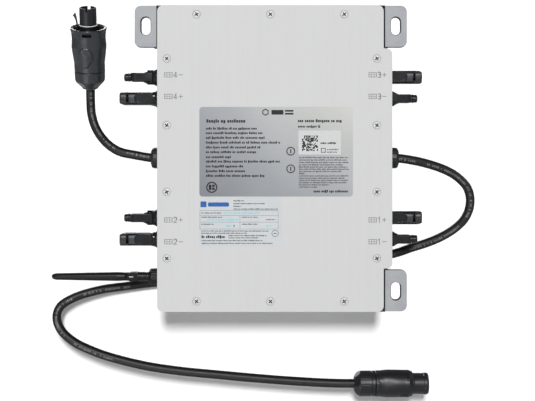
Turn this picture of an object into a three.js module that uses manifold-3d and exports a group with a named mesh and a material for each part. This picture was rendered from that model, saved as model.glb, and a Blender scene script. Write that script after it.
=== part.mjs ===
// Four-input micro-inverter: a finned aluminium cabinet with a screwed cover plate, three hanging
// ears, eight panel connectors, two AC leads with their trunk connectors and a swivel antenna.
//
// Frame: millimetres, +Z up as the unit hangs, +X to the right as seen from the cover plate, which
// faces -Y. The origin is the centre of the square land in the middle of the rear face.
import * as THREE from 'three';
import { mergeVertices } from 'three/addons/utils/BufferGeometryUtils.js';
import Module from 'manifold-3d';

const wasm = await Module();
wasm.setup();

// ---------------------------------------------------------------- shared dimensions
const CAB_H = 300;            // cabinet height, cover plate edge to edge
const CAB_D = 42.5;           // cabinet depth, cover face to fin tips
const FRONT = -CAB_D;         // plane of the cover plate's outer face

const COVER_T = 2.5;
const GASKET_T = 1;

const TUB_W = 219.6;
const TUB_H = 297.6;
const TUB_FRONT = FRONT + COVER_T + GASKET_T;
const WALL_X = TUB_W / 2;     // outer face of the side walls

// Cover screws: a column down each side, a row along the top and one along the bottom.
const SCREW_COL_X = { left: -101.6, right: 103.8 };
const SCREW_COL_Z = [97.7, 32.5, -32.7, -97.7];
const SCREW_ROW_Z = { top: 141, bottom: -139.7 };
const SCREW_ROW_X = [-72.5, -0.3, 71.9];

const PORT_Y = -25;           // depth of every connector axis
const PV_Z = [80.6, 59.4, -58.8, -80.0];
const GLAND_Z = 0.5;
const ANTENNA_Z = -117.2;

// ---------------------------------------------------------------- solids
// Keeps positions only, merges shared vertices, drops collapsed triangles and turns faces out.
function tidy(geometry) {
  const bare = geometry.clone();
  for (const name of Object.keys(bare.attributes)) {
    if (name !== 'position') bare.deleteAttribute(name);
  }
  const merged = mergeVertices(bare, 1e-4);
  const corner = (i) => new THREE.Vector3().fromBufferAttribute(merged.attributes.position, i);
  const source = merged.index.array;
  const triangles = [];
  let volume = 0;
  for (let i = 0; i < source.length; i += 3) {
    const [first, second, third] = source.slice(i, i + 3);
    if (first === second || second === third || first === third) continue;
    triangles.push([first, second, third]);
    volume += corner(first).dot(corner(second).cross(corner(third)));
  }
  const outward = volume < 0
    ? triangles.map(([first, second, third]) => [first, third, second])
    : triangles;
  merged.setIndex(outward.flat());
  return merged;
}

function toSolid(geometry) {
  const clean = tidy(geometry);
  return new wasm.Manifold(new wasm.Mesh({
    numProp: 3,
    vertProperties: new Float32Array(clean.attributes.position.array),
    triVerts: new Uint32Array(clean.index.array),
  }));
}

function toGeometry(solid) {
  const mesh = solid.getMesh();
  const geometry = new THREE.BufferGeometry();
  const positions = new Float32Array(mesh.vertProperties);
  geometry.setAttribute('position', new THREE.BufferAttribute(positions, 3));
  geometry.setIndex(new THREE.BufferAttribute(new Uint32Array(mesh.triVerts), 1));
  return geometry;
}

// Joins the added pieces to a solid, then takes the cut pieces away.
function carveSolid(start, add, cut) {
  let solid = start;
  for (const piece of add) solid = solid.add(toSolid(piece));
  for (const piece of cut) solid = solid.subtract(toSolid(piece));
  return toGeometry(solid);
}
const carve = (add, cut = []) => carveSolid(toSolid(add[0]), add.slice(1), cut);

// The two ends of each range may come in either order.
const box = (x0, x1, y0, y1, z0, z1) =>
  new THREE.BoxGeometry(Math.abs(x1 - x0), Math.abs(y1 - y0), Math.abs(z1 - z0))
    .translate((x0 + x1) / 2, (y0 + y1) / 2, (z0 + z1) / 2);

// A turned solid: profile is a list of [radius, station], the station running along the axis.
function turned(profile, segments, axis) {
  const points = profile.map(([radius, station]) => new THREE.Vector2(radius, station));
  const geometry = new THREE.LatheGeometry(points, segments);
  if (axis === 'x') geometry.rotateZ(-Math.PI / 2);
  if (axis === 'z') geometry.rotateX(Math.PI / 2);
  return geometry;
}
// A turned solid with a hole down its axis; its profile is closed here.
const turnedRing = (profile, segments, axis) => turned([...profile, profile[0]], segments, axis);
const rod = (radius, start, end, segments, axis) =>
  turned([[0, start], [radius, start], [radius, end], [0, end]], segments, axis);

// ---------------------------------------------------------------- outlines and extrusions
const point = (x, y) => new THREE.Vector2(x, y);

// Points along an arc, both ends included; angles in degrees.
function arc(x, y, radius, from, to, steps) {
  return Array.from({ length: steps + 1 }, (_, i) => {
    const angle = (from + ((to - from) * i) / steps) * Math.PI / 180;
    return point(x + radius * Math.cos(angle), y + radius * Math.sin(angle));
  });
}
const circle = (x, y, radius, steps) => arc(x, y, radius, 0, 360, steps).slice(0, -1);

// A rectangle with round corners, with a number of steps per corner.
const roundRect = (x0, x1, y0, y1, radius, steps) => [
  ...arc(x1 - radius, y0 + radius, radius, -90, 0, steps),
  ...arc(x1 - radius, y1 - radius, radius, 0, 90, steps),
  ...arc(x0 + radius, y1 - radius, radius, 90, 180, steps),
  ...arc(x0 + radius, y0 + radius, radius, 180, 270, steps),
];

function extrude(points, depth, holes = []) {
  const shape = new THREE.Shape(points);
  for (const hole of holes) shape.holes.push(new THREE.Path(hole));
  return new THREE.ExtrudeGeometry(shape, { depth, bevelEnabled: false });
}
// Extrudes an outline in X and Z between two depths.
const slabY = (points, y0, y1, holes) =>
  extrude(points, y1 - y0, holes).rotateX(Math.PI / 2).translate(0, y1, 0);
// Extrudes an outline in Y and Z along X.
function slabX(points, x0, x1) {
  const axes = new THREE.Matrix4().makeBasis(
    new THREE.Vector3(0, 1, 0), new THREE.Vector3(0, 0, 1), new THREE.Vector3(1, 0, 0));
  return extrude(points, x1 - x0).applyMatrix4(axes).translate(x0, 0, 0);
}

// ---------------------------------------------------------------- scene graph
const group = new THREE.Group();
const FINISHES = {
  plate: { color: 0xd6d6d6, roughness: 0.45, metalness: 0.6 },
  tub: { color: 0xb9bcc0, roughness: 0.5, metalness: 0.8 },
  ear: { color: 0xb1b5ba, roughness: 0.35, metalness: 1.0 },
  screw: { color: 0xc9ccd0, roughness: 0.3, metalness: 1.0 },
  black: { color: 0x2b2e33, roughness: 0.5, metalness: 0.0 },
  lead: { color: 0x151515, roughness: 0.6, metalness: 0.0 },
  rubber: { color: 0x111214, roughness: 0.8, metalness: 0.0 },
  board: { color: 0x1f5d38, roughness: 0.5, metalness: 0.0 },
  core: { color: 0x2f2f33, roughness: 0.7, metalness: 0.1 },
  copper: { color: 0xb66f3a, roughness: 0.4, metalness: 0.9 },
  label: { color: 0x9fa4a9, roughness: 0.45, metalness: 0.2 },
  paper: { color: 0xe6e9ea, roughness: 0.6, metalness: 0.0 },
  can: { color: 0x3a4a63, roughness: 0.4, metalness: 0.3 },
  shield: { color: 0xcfd2d6, roughness: 0.35, metalness: 0.9 },
};
function part(name, geometry, finish, parent = group) {
  const clean = tidy(geometry);
  clean.computeVertexNormals();
  const mesh = new THREE.Mesh(clean, new THREE.MeshStandardMaterial(FINISHES[finish]));
  mesh.name = name;
  parent.add(mesh);
  return mesh;
}
function frame(x, y, z) {
  const holder = new THREE.Group();
  holder.position.set(x, y, z);
  group.add(holder);
  return holder;
}
// A frame on a side wall: its +X leaves the wall. side is -1 on the left and 1 on the right.
function port(side, z) {
  const holder = frame(side * WALL_X, PORT_Y, z);
  if (side < 0) holder.rotation.z = Math.PI;
  return holder;
}

// ---------------------------------------------------------------- housing and gasket
const TUB_WALL = 3;
const TUB_CORNER = 7;
const TUB_FLOOR_IN = -12;
const TUB_FLOOR_OUT = -9;
const FIN = { thickness: 2, pitch: 12.5, count: 17, endZ: 142 };
const LAND = 40;              // side of the square rear land
const LAND_GAP = 4;           // from the land to the fins cut short around it
const ROOT_SINK = 0.5;        // how far fins and land reach into the floor
const BOSS_HALF = 5.5;
const SCREW_BORE = { radius: 2.3, depth: 14 };
const PV_HOLE_R = 6.25;
const GLAND_HOLE_R = 8.3;
const ANTENNA_HOLE_R = 5.0;

// [x, z] in numbering order: top row, right column, bottom row, left column.
const screwSpots = [
  ...SCREW_ROW_X.map((x) => [x, SCREW_ROW_Z.top]),
  ...SCREW_COL_Z.map((z) => [SCREW_COL_X.right, z]),
  ...SCREW_ROW_X.toReversed().map((x) => [x, SCREW_ROW_Z.bottom]),
  ...SCREW_COL_Z.toReversed().map((z) => [SCREW_COL_X.left, z]),
];

const tubOutline = (inset, corner, steps) => roundRect(
  -WALL_X + inset, WALL_X - inset, -TUB_H / 2 + inset, TUB_H / 2 - inset, corner, steps);

// A block round a screw hole, reaching into the nearest wall.
function screwBoss([x, z]) {
  const y0 = TUB_FRONT;
  const y1 = TUB_FLOOR_IN + 1;
  if (Math.abs(z) > 120) {
    const up = Math.sign(z);
    return box(x - BOSS_HALF, x + BOSS_HALF, y0, y1, z - BOSS_HALF * up, up * (TUB_H / 2 - 1));
  }
  const side = Math.sign(x);
  return box(x - BOSS_HALF * side, side * (WALL_X - 1), y0, y1, z - BOSS_HALF, z + BOSS_HALF);
}

// Full-height fins, except those the land interrupts.
function fins() {
  const clear = LAND / 2 + LAND_GAP;
  return Array.from({ length: FIN.count }, (_, i) => {
    const x = (i - (FIN.count - 1) / 2) * FIN.pitch;
    const spans = Math.abs(x) < clear
      ? [[-FIN.endZ, -clear], [clear, FIN.endZ]]
      : [[-FIN.endZ, FIN.endZ]];
    const half = FIN.thickness / 2;
    return spans.map(([z0, z1]) => box(x - half, x + half, TUB_FLOOR_OUT - ROOT_SINK, 0, z0, z1));
  }).flat();
}

function wallHoles(side) {
  const [start, end] = side < 0
    ? [-WALL_X - 2, -WALL_X + TUB_WALL + 1]
    : [WALL_X - TUB_WALL - 1, WALL_X + 2];
  // [radius, z, segments]
  const holes = [...PV_Z.map((z) => [PV_HOLE_R, z, 16]), [GLAND_HOLE_R, GLAND_Z, 18]];
  if (side < 0) holes.push([ANTENNA_HOLE_R, ANTENNA_Z, 14]);
  return holes.map(([radius, z, segments]) =>
    rod(radius, start, end, segments, 'x').translate(0, PORT_Y, z));
}

function housing() {
  const block = slabY(tubOutline(0, TUB_CORNER, 4), TUB_FRONT, TUB_FLOOR_OUT);
  const cavityOutline = tubOutline(TUB_WALL, TUB_CORNER - TUB_WALL, 3);
  const cavity = slabY(cavityOutline, TUB_FRONT - 1, TUB_FLOOR_IN);
  const landOutline = roundRect(-LAND / 2, LAND / 2, -LAND / 2, LAND / 2, 3, 3);
  const land = slabY(landOutline, TUB_FLOOR_OUT - ROOT_SINK, 0);
  const screwHoles = screwSpots.map(([x, z]) =>
    rod(SCREW_BORE.radius, TUB_FRONT - 1, TUB_FRONT + SCREW_BORE.depth, 8, 'y').translate(x, 0, z));
  // The cavity is cut first, so that the bosses stand inside it.
  return carveSolid(
    toSolid(block).subtract(toSolid(cavity)),
    [...screwSpots.map(screwBoss), ...fins(), land],
    [...screwHoles, ...wallHoles(-1), ...wallHoles(1)]);
}

const coverGasket = () => slabY(tubOutline(0.4, TUB_CORNER, 3),
  TUB_FRONT - GASKET_T, TUB_FRONT, [tubOutline(2.6, TUB_CORNER - 2.2, 3)]);

part('housing', housing(), 'tub');
part('cover_gasket', coverGasket(), 'rubber');

// ---------------------------------------------------------------- cover plate
const COVER_LEFT = -111.1;
const COVER_RIGHT = 118.8;            // edge of the apron beside the right-hand connectors
const COVER_RIGHT_NARROW = 110.5;     // right edge above and below the apron
const APRON_Z = [-107.4, 107.7];
const COVER_CORNER = 6;
const COVER_NOTCH_R = 1;              // inside corners where the apron starts
// [radius, depth below the cover face]
const COUNTERSINK = [
  [0, -0.5], [4.7, -0.5], [2.3, 1.9], [2.3, COVER_T + 0.5], [0, COVER_T + 0.5],
];

function coverPlate() {
  const top = CAB_H / 2 - COVER_CORNER;
  const left = COVER_LEFT + COVER_CORNER;
  const right = COVER_RIGHT - COVER_CORNER;
  const narrow = COVER_RIGHT_NARROW - COVER_CORNER;
  const notch = COVER_RIGHT_NARROW + COVER_NOTCH_R;
  const [apronLow, apronHigh] = APRON_Z;
  // Corners, counter-clockwise from the bottom right.
  const outline = [
    ...arc(narrow, -top, COVER_CORNER, -90, 0, 4),
    ...arc(notch, apronLow - COVER_NOTCH_R, COVER_NOTCH_R, 180, 90, 2),
    ...arc(right, apronLow + COVER_CORNER, COVER_CORNER, -90, 0, 4),
    ...arc(right, apronHigh - COVER_CORNER, COVER_CORNER, 0, 90, 4),
    ...arc(notch, apronHigh + COVER_NOTCH_R, COVER_NOTCH_R, 270, 180, 2),
    ...arc(narrow, top, COVER_CORNER, 0, 90, 4),
    ...arc(left, top, COVER_CORNER, 90, 180, 4),
    ...arc(left, -top, COVER_CORNER, 180, 270, 4),
  ];
  return carve([slabY(outline, FRONT, FRONT + COVER_T)],
    screwSpots.map(([x, z]) => turned(COUNTERSINK, 12, 'y').translate(x, FRONT, z)));
}
part('cover_plate', coverPlate(), 'plate');

// ---------------------------------------------------------------- cover screws
const SCREW = { headR: 3.75, shankR: 1.9, length: 12.6 };
const RECESS = { arm: 0.55, reach: 2.3, depth: 1.6 };   // cross recess; arm is the half width

// A countersunk screw with its head towards -Y.
function coverScrew() {
  const { headR, shankR, length } = SCREW;
  const { arm, reach } = RECESS;
  const cross = [
    [arm, arm], [arm, reach], [-arm, reach], [-arm, arm], [-reach, arm], [-reach, -arm],
    [-arm, -arm], [-arm, -reach], [arm, -reach], [arm, -arm], [reach, -arm], [reach, arm],
  ].map(([x, z]) => point(x, z));
  const body = turned([
    [0, 0.15], [headR - 0.1, 0.15], [headR, 0.3], [shankR, 2.15], [shankR, length - 1], [0, length],
  ], 10, 'y');
  return carve([body], [slabY(cross, -1, RECESS.depth)]);
}
const screwGeometry = coverScrew();
screwSpots.forEach(([x, z], i) => {
  const screw = part(`cover_screw_${String(i + 1).padStart(2, '0')}`, screwGeometry, 'screw');
  screw.position.set(x, FRONT, z);
  screw.rotation.y = Math.PI / 4;
});

// ---------------------------------------------------------------- hanging ears
const EAR_SPAN = 267;         // width over the ears
const EAR_T = 4.5;
const EAR_H = 41;
const EAR_CORNER = 6;
const EAR_FRONT = FRONT + 3.25;
const EAR_REAR = -18;
const EAR_PAD_X = 110.1;      // inner face of the pad
const EAR_WEB_X = 111.7;      // inner face of the web
const EAR_SLOT = { x: 122.5, z: 129.9, width: 9, length: 17 };
const RIVET_Y = -26;
const RIVET_OFFSET_Z = 11;
const RIVET_PROFILE = [[0, 0], [3, 0], [2.7, 1.6], [1.4, 2.4], [0, 2.6]];

// An L with a slotted flange in front and a riveted web along the cabinet side.
// side is -1 on the left and 1 on the right; up is 1 at the top and -1 at the bottom.
function ear(side, up) {
  const z0 = up > 0 ? CAB_H / 2 - EAR_H : -CAB_H / 2;
  const z1 = z0 + EAR_H;
  const endZ = up * CAB_H / 2;
  const cornerX = EAR_SPAN / 2 - EAR_CORNER;
  const outline = [
    point(EAR_WEB_X, z0),
    ...arc(cornerX, z0 + EAR_CORNER, EAR_CORNER, -90, 0, 4),
    ...arc(cornerX, z1 - EAR_CORNER, EAR_CORNER, 0, 90, 4),
    point(EAR_WEB_X, z1),
  ].map(({ x, y }) => point(side * x, y));
  if (side < 0) outline.reverse();
  const flange = slabY(outline, EAR_FRONT, EAR_FRONT + EAR_T);

  const block = (x0, x1, y0, y1, za, zb) => box(side * x0, side * x1, y0, y1, za, zb);
  const web = block(EAR_WEB_X, EAR_WEB_X + EAR_T, EAR_FRONT, EAR_REAR, z0 + 0.5, z1 - 0.5);
  const pad = block(EAR_PAD_X, EAR_WEB_X + 1, -28, EAR_REAR, z0 + 0.5, z1 - 0.5);
  // The end tab wraps the cabinet's corner.
  const tab = block(103.5, EAR_WEB_X + 1, -37, -20, endZ - up * 0.8, endZ + up * 0.6);
  const rivets = [-RIVET_OFFSET_Z, RIVET_OFFSET_Z].map((offset) => {
    const rivet = turned(RIVET_PROFILE, 10, 'x')
      .translate(EAR_WEB_X + EAR_T - 0.8, RIVET_Y, (z0 + z1) / 2 + offset);
    // A half turn about Z for the left side, then back to the same depth.
    return side < 0 ? rivet.rotateZ(Math.PI).translate(0, 2 * RIVET_Y, 0) : rivet;
  });

  const { width, length } = EAR_SLOT;
  const slotX = side * EAR_SLOT.x;
  const slotZ = up * EAR_SLOT.z;
  // The corner radius falls just short of half the width, so that no edge has zero length.
  const slot = roundRect(slotX - width / 2, slotX + width / 2,
    slotZ - length / 2, slotZ + length / 2, width / 2 - 0.001, 4);
  return carve([flange, web, pad, tab, ...rivets],
    [slabY(slot, EAR_FRONT - 1, EAR_FRONT + EAR_T + 1)]);
}
part('mounting_ear_top_left', ear(-1, 1), 'ear');
part('mounting_ear_top_right', ear(1, 1), 'ear');
part('mounting_ear_bottom_right', ear(1, -1), 'ear');

// ---------------------------------------------------------------- panel connectors
// Both kinds are built along the port frame's +X, from a spigot in the wall.
const PV_SPIGOT_R = 5.8;
const PV_FLANGE_R = 8.9;
const HOOD = { tip: 39.6, height: 12.9, depth: 16.4 };
const NOSE = { tip: 35.6, radius: 3.95, barrelR: 4.3 };
const FINGER = { pivot: 7.6, inner: 5.7, thickness: 1.7, end: 28.8, width: 8.2 };
// Spigot and flange, [radius, station].
const PV_ROOT = [
  [0, -9], [PV_SPIGOT_R, -9], [PV_SPIGOT_R, 0.3], [PV_FLANGE_R, 0.3], [PV_FLANGE_R, 1.5],
];

// A flat-sided shell round a contact pin, with a catch window in each flat.
function pvHood() {
  const { tip, height, depth } = HOOD;
  const shell = carve(
    [
      turned([...PV_ROOT, [7.2, 3.4], [6.4, 6], [0, 6]], 14, 'x'),
      slabX(roundRect(-depth / 2, depth / 2, -height / 2, height / 2, 4.6, 2), 3.4, tip),
    ],
    [
      rod(4.6, 13, tip + 1, 10, 'x'),
      box(20.5, tip + 1, -6.9, 6.9, -4.4, 4.4),
      // Windows through both flats, then the shallow recess behind each.
      box(30.1, 32.6, -9, 9, -4.4, 4.4),
      ...[-1, 1].map((face) => box(23.2, 30.1, face * 7.5, face * 9, -4.6, 4.6)),
    ]);
  const pin = turned([[0, 12.5], [1.5, 12.5], [1.5, 32], [0.8, 33.6], [0, 33.6]], 8, 'x');
  return carve([shell, pin]);
}

// A tubular nose on a stepped barrel, with rebates for the catch fingers.
function pvNose() {
  const { tip, radius, barrelR } = NOSE;
  const body = turned([
    ...PV_ROOT, [7.6, 4.2], [7.35, 5], [7.35, 11.6], [6.4, 13.4],
    [barrelR + 0.1, 17.4], [barrelR, 27.2], [radius, 27.3],
    [radius, tip - 0.8], [radius - 0.8, tip], [0, tip],
  ], 14, 'x');
  // [start along X, distance of the flat from the axis]
  const rebates = [[6.3, FINGER.inner - 0.35], [9.4, 4.45]].flatMap(([start, flat]) =>
    [1, -1].map((face) => box(start, 20, face * flat, face * 10, -4.5, 4.5)));
  return carve([body], [rod(2.5, 20, tip + 1, 8, 'x'), ...rebates]);
}

// A catch finger on the -Y side of the barrel, with a round root and a barb near its free end.
function catchFinger() {
  const { pivot, inner, thickness, end, width } = FINGER;
  const outer = inner + thickness;
  const rootR = thickness / 2;
  const outline = [
    ...arc(pivot, -(inner + rootR), rootR, -90, -270, 4),
    point(end - 0.6, -inner),
    point(end, -(inner + 0.5)),
    point(end - 2.6, -(outer + 0.95)),
    point(end - 3.4, -(outer + 0.95)),
    point(end - 3.4, -outer),
  ];
  return extrude(outline, width).translate(0, 0, -width / 2);
}

const hoodGeometry = pvHood();
const noseGeometry = pvNose();
const fingerGeometry = catchFinger();
for (const [side, sideName] of [[-1, 'left'], [1, 'right']]) {
  PV_Z.forEach((z, i) => {
    const tag = `${sideName}_${i + 1}`;
    const holder = port(side, z);
    // The kinds alternate down each side, the left starting with a nose.
    const isNose = (i % 2 === 0) === (side < 0);
    if (!isNose) {
      part(`pv_hood_${tag}`, hoodGeometry, 'black', holder);
      return;
    }
    part(`pv_nose_${tag}`, noseGeometry, 'black', holder);
    const front = part(`catch_front_${tag}`, fingerGeometry, 'black', holder);
    const back = part(`catch_back_${tag}`, fingerGeometry, 'black', holder);
    // The port frame is turned half round on the left, so front and back swap there.
    (side < 0 ? front : back).rotation.x = Math.PI;
  });
}

// ---------------------------------------------------------------- AC glands and leads
const GLAND_R = 10.5;
const GLAND_BORE_R = 4.9;
const GLAND_LENGTH = { left: 8.8, right: 16.8 };
const LEAD_R = 4.5;

const SOCKET_BASE = [-181.2, -14, 70.4];
const SOCKET_DIRECTION = [0.030, -0.358, 0.934];
const PLUG_BASE = [83.7, -13, -226.2];
// Lead centre lines, [x, y, z] from inside the cabinet to inside the trunk connectors.
const SHORT_LEAD = [
  [-96, -25, 0.5], [-104, -25, 0.5], [-111, -25, 0.5], [-118.6, -25, 0.7], [-135.7, -25, 3.6],
  [-150.0, -24, 6.7], [-161.1, -21.5, 13.1], [-170.7, -17.5, 22.9], [-177.2, -13.4, 33.8],
  [-180.9, -10.4, 46.5], [-181.6, -10.9, 61.4], SOCKET_BASE, [-180.9, -17.6, 79.7],
  [-180.7, -20.4, 87.2],
];
const LONG_LEAD = [
  [96, -25, 0.5], [104, -25, 0.5], [112, -25, 0.5], [120, -25, 0.5], [127, -24.8, 0.2],
  [141.5, -24, -1.9], [156.8, -21.5, -5.4], [172.4, -18, -10.5], [182.8, -15.5, -15.5],
  [191.3, -13, -21.8], [197.9, -11, -29.2], [201.4, -8.5, -39.9], [200.7, -6, -51.6],
  [196.1, -3.5, -61.9], [187.4, -1, -71.0], [175.6, 1.5, -79.0], [160.7, 3.6, -85.8],
  [143.5, 5.0, -91.5], [125.4, 5.6, -97.5], [60, 5.6, -106.5], [0, 5.6, -113], [-60, 5.6, -119.5],
  [-116.5, 5.6, -126.6], [-147.0, 4.2, -130.3], [-173.7, 1, -133.8], [-200.3, -3, -141.5],
  [-213.4, -5.5, -150.2], [-216.5, -7.5, -160.4], [-211.7, -9.5, -173.0], [-198.8, -11, -184.4],
  [-180.6, -12, -193.2], [-162.5, -12.7, -199.5], [-126.5, -13, -208.4], [-90.6, -13, -213.8],
  [-54.7, -13, -217.3], [-18.8, -13, -220.6], [25.7, -13, -224.0], [61.8, -13, -225.9],
  [82.6, -13, -226.2], [92, -13, -226.2], [101, -13, -226.2],
];

const gland = (length) => turnedRing([
  [GLAND_BORE_R, -10], [7.8, -10], [7.8, 0.3], [GLAND_R, 0.3], [GLAND_R, length - 2.4],
  [GLAND_R - 0.8, length - 1.0], [7.6, length], [GLAND_BORE_R, length],
], 16, 'x');

// A round lead swept along its centre line.
function lead(centres, steps) {
  const points = centres.map((centre) => new THREE.Vector3(...centre));
  const extrudePath = new THREE.CatmullRomCurve3(points, false, 'centripetal');
  const section = new THREE.Shape(circle(0, 0, LEAD_R, 8));
  return new THREE.ExtrudeGeometry(section, { steps, bevelEnabled: false, extrudePath });
}
part('ac_gland_left', gland(GLAND_LENGTH.left), 'black', port(-1, GLAND_Z));
part('ac_gland_right', gland(GLAND_LENGTH.right), 'black', port(1, GLAND_Z));
part('ac_lead_short', lead(SHORT_LEAD, 28), 'lead');
part('ac_lead_long', lead(LONG_LEAD, 92), 'lead');

// ---------------------------------------------------------------- AC trunk socket (short lead)
// Profiles are [radius, station], the stations running from the lead to the open end.
const SOCKET_NUT = [
  [5.1, 0], [6.3, 0], [8.6, 1.4], [14.2, 6.6], [14.7, 9], [15.2, 16.5], [11.6, 16.5],
  [11.6, 8], [5.1, 8],
];
const SOCKET_SHELL = [
  [7, 8.8], [10.6, 8.8], [10.6, 16.8], [15.2, 16.8], [15.0, 27.5], [15.9, 33.6], [17.25, 44.5],
  [16.7, 50.2], [16.6, 54.2], [17.3, 59.4], [17.8, 62.0], [17.3, 62.6], [15.4, 62.6],
  [14.9, 61.2], [14.9, 24.4], [7, 24.4],
];
const SOCKET_INSERT = [
  [0, 24.8], [14.3, 24.8], [14.3, 29.5], [8.3, 29.5], [8.3, 82.5], [6.7, 82.5], [6.7, 50], [0, 50],
];
function addSocket() {
  const holder = frame(...SOCKET_BASE);
  const direction = new THREE.Vector3(...SOCKET_DIRECTION).normalize();
  holder.quaternion.setFromUnitVectors(new THREE.Vector3(0, 0, 1), direction);
  const shellWindow = box(-5.8, 3.4, -19, -13, 51.7, 54.9);
  const rimNotch = box(-1.5, 1.5, 5, 10, 79.5, 84);
  const shell = carve([turnedRing(SOCKET_SHELL, 18, 'z')], [shellWindow]);
  const insert = carve([turned(SOCKET_INSERT, 18, 'z')], [rimNotch]);
  part('ac_socket_nut', turnedRing(SOCKET_NUT, 12, 'z'), 'black', holder);
  part('ac_socket_shell', shell, 'black', holder);
  part('ac_socket_insert', insert, 'black', holder);
}
addSocket();

// ---------------------------------------------------------------- AC trunk plug (long lead)
const PLUG_NUT = [
  [5.1, 0], [7, 0], [9.9, 1.5], [11.6, 3.5], [12.8, 6], [12.8, 20.9], [10.4, 20.9],
  [10.4, 10], [5.1, 10],
];
const PLUG_SHELL = [
  [7, 12], [9.3, 12], [9.3, 21.2], [13, 21.2], [12.9, 25], [13.9, 34], [13.7, 42], [13.5, 50],
  [13.6, 54.5], [12.3, 58.3], [11.0, 58.3], [11.0, 30], [7, 30],
];
const PLUG_INSERT = [
  [0, 30.4], [10.6, 30.4], [10.6, 73.4], [9.8, 74.4], [8.7, 74.4], [8.7, 62], [0, 62],
];
function addPlug() {
  const holder = frame(...PLUG_BASE);
  const shellWindow = box(47, 53.4, -4.5, 4.5, -16, -10.8);
  const shell = carve([turnedRing(PLUG_SHELL, 18, 'x')], [shellWindow]);
  part('ac_plug_nut', turnedRing(PLUG_NUT, 12, 'x'), 'black', holder);
  part('ac_plug_shell', shell, 'black', holder);
  part('ac_plug_insert', turned(PLUG_INSERT, 18, 'x'), 'black', holder);
}
addPlug();

// ---------------------------------------------------------------- antenna
const PIVOT = 28.6;           // pivot pin, out from the wall
const WHIP_TIP = 107.8;

const antennaJack = () => turnedRing([
  [3.15, -6], [4.5, -6], [4.5, 0.3], [8.2, 0.3], [8.2, 8.8], [7.4, 10.6], [3.15, 10.6],
], 16, 'x');

// A collar whose stem sits inside the jack; its fork carries the pivot pin.
function antennaBase() {
  const collar = turned(
    [[0, -1], [2.7, -1], [2.7, 10.9], [4.65, 10.9], [4.65, 23.6], [0, 23.6]], 16, 'x');
  const cheek = [...arc(PIVOT, 0, 4.5, -90, 90, 10), point(22, 4.5), point(22, -4.5)];
  const fork = carve([collar, slabY(cheek, -4.6, 4.6)],
    [box(24, PIVOT + 6, -2.3, 2.3, -6, 6)]);
  return carve([fork, slabY(circle(PIVOT, 0, 1.2, 10), -4.6, 4.6)]);
}

function antennaWhip() {
  const tongue = [
    ...arc(PIVOT, 0, 4.3, 90, 270, 10), point(PIVOT + 6, -3.9), point(PIVOT + 6, 3.9),
  ];
  const whip = turned([
    [0, PIVOT + 5], [3.9, PIVOT + 5], [4.15, PIVOT + 5.6], [4.15, PIVOT + 20],
    [3.6, WHIP_TIP - 4], [3.2, WHIP_TIP - 1.8], [2.0, WHIP_TIP - 0.4], [0, WHIP_TIP],
  ], 14, 'x');
  return carve([slabY(tongue, -1.95, 1.95), whip],
    [slabY(circle(PIVOT, 0, 1.6, 10), -3, 3)]);
}
const antennaPort = port(-1, ANTENNA_Z);
part('antenna_jack', antennaJack(), 'black', antennaPort);
part('antenna_base', antennaBase(), 'black', antennaPort);
part('antenna_whip', antennaWhip(), 'black', antennaPort);

// ---------------------------------------------------------------- labels
const LABEL_T = 0.3;
const LABEL_REAR = FRONT - 0.05;      // a hair clear of the cover

const label = (outline) => slabY(outline, LABEL_REAR - LABEL_T, LABEL_REAR);
part('rating_label', label(roundRect(-69.7, 80.2, -37, 50.3, 3, 3)), 'label');
part('energy_label', label(roundRect(-70, 10, -85.5, -38, 1.5, 2)), 'paper');

// ---------------------------------------------------------------- inside the cabinet
const BOARD = { x: 92, y0: -17.3, y1: -15.7, z0: -133.5, z1: 134 };
const SEAT = BOARD.y0 - 0.3;  // components stand from here towards the cover

const circuitBoard = () => box(-BOARD.x, BOARD.x, BOARD.y0, BOARD.y1, BOARD.z0, BOARD.z1);
const transformer = (x, z) => carve([
  box(x - 17, x + 17, SEAT - 17, SEAT, z - 11, z + 11),
  slabY(roundRect(x - 11, x + 11, z - 19, z + 19, 5, 2), SEAT - 15, SEAT - 2),
]);
const outputChoke = () => turnedRing([
  [6, SEAT - 14], [17, SEAT - 14], [19, SEAT - 12], [19, SEAT - 2], [17, SEAT], [6, SEAT],
], 16, 'y').translate(-18, 0, 0);
const gridRelay = () => slabY(roundRect(34, 62, -7, 7, 1, 2), SEAT - 16, SEAT);
const bulkCapacitor = () => rod(9, -17, 17, 14, 'z').translate(-58, SEAT - 9.2, 16);
const radioModule = () => carve([
  box(-88, -62, SEAT - 1.2, SEAT, -128, -108),
  box(-86, -68, SEAT - 3.6, SEAT - 1.2, -126, -110),
]);

part('main_circuit_board', circuitBoard(), 'board');
for (const [row, z] of [['upper', 72], ['lower', -72]]) {
  for (const [column, x] of [['left', -58], ['right', 58]]) {
    part(`transformer_${column}_${row}`, transformer(x, z), 'core');
  }
}
part('output_choke', outputChoke(), 'copper');
part('grid_relay', gridRelay(), 'shield');
part('bulk_capacitor', bulkCapacitor(), 'can');
part('radio_module', radioModule(), 'shield');

export default group;
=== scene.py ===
"""A four-input micro-inverter with its connectors, leads, antenna and labels.

The cover faces the front (-Y), X runs right and Z up. Shapes are modelled in millimetres in the
CAD frame and scaled to metres as each piece is finished.
"""

import random
from math import acos, atan2, ceil, copysign, cos, dist, exp, pi, radians, sin, sqrt, tan

import bmesh
import bpy
from mathutils import Matrix, Vector


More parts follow.
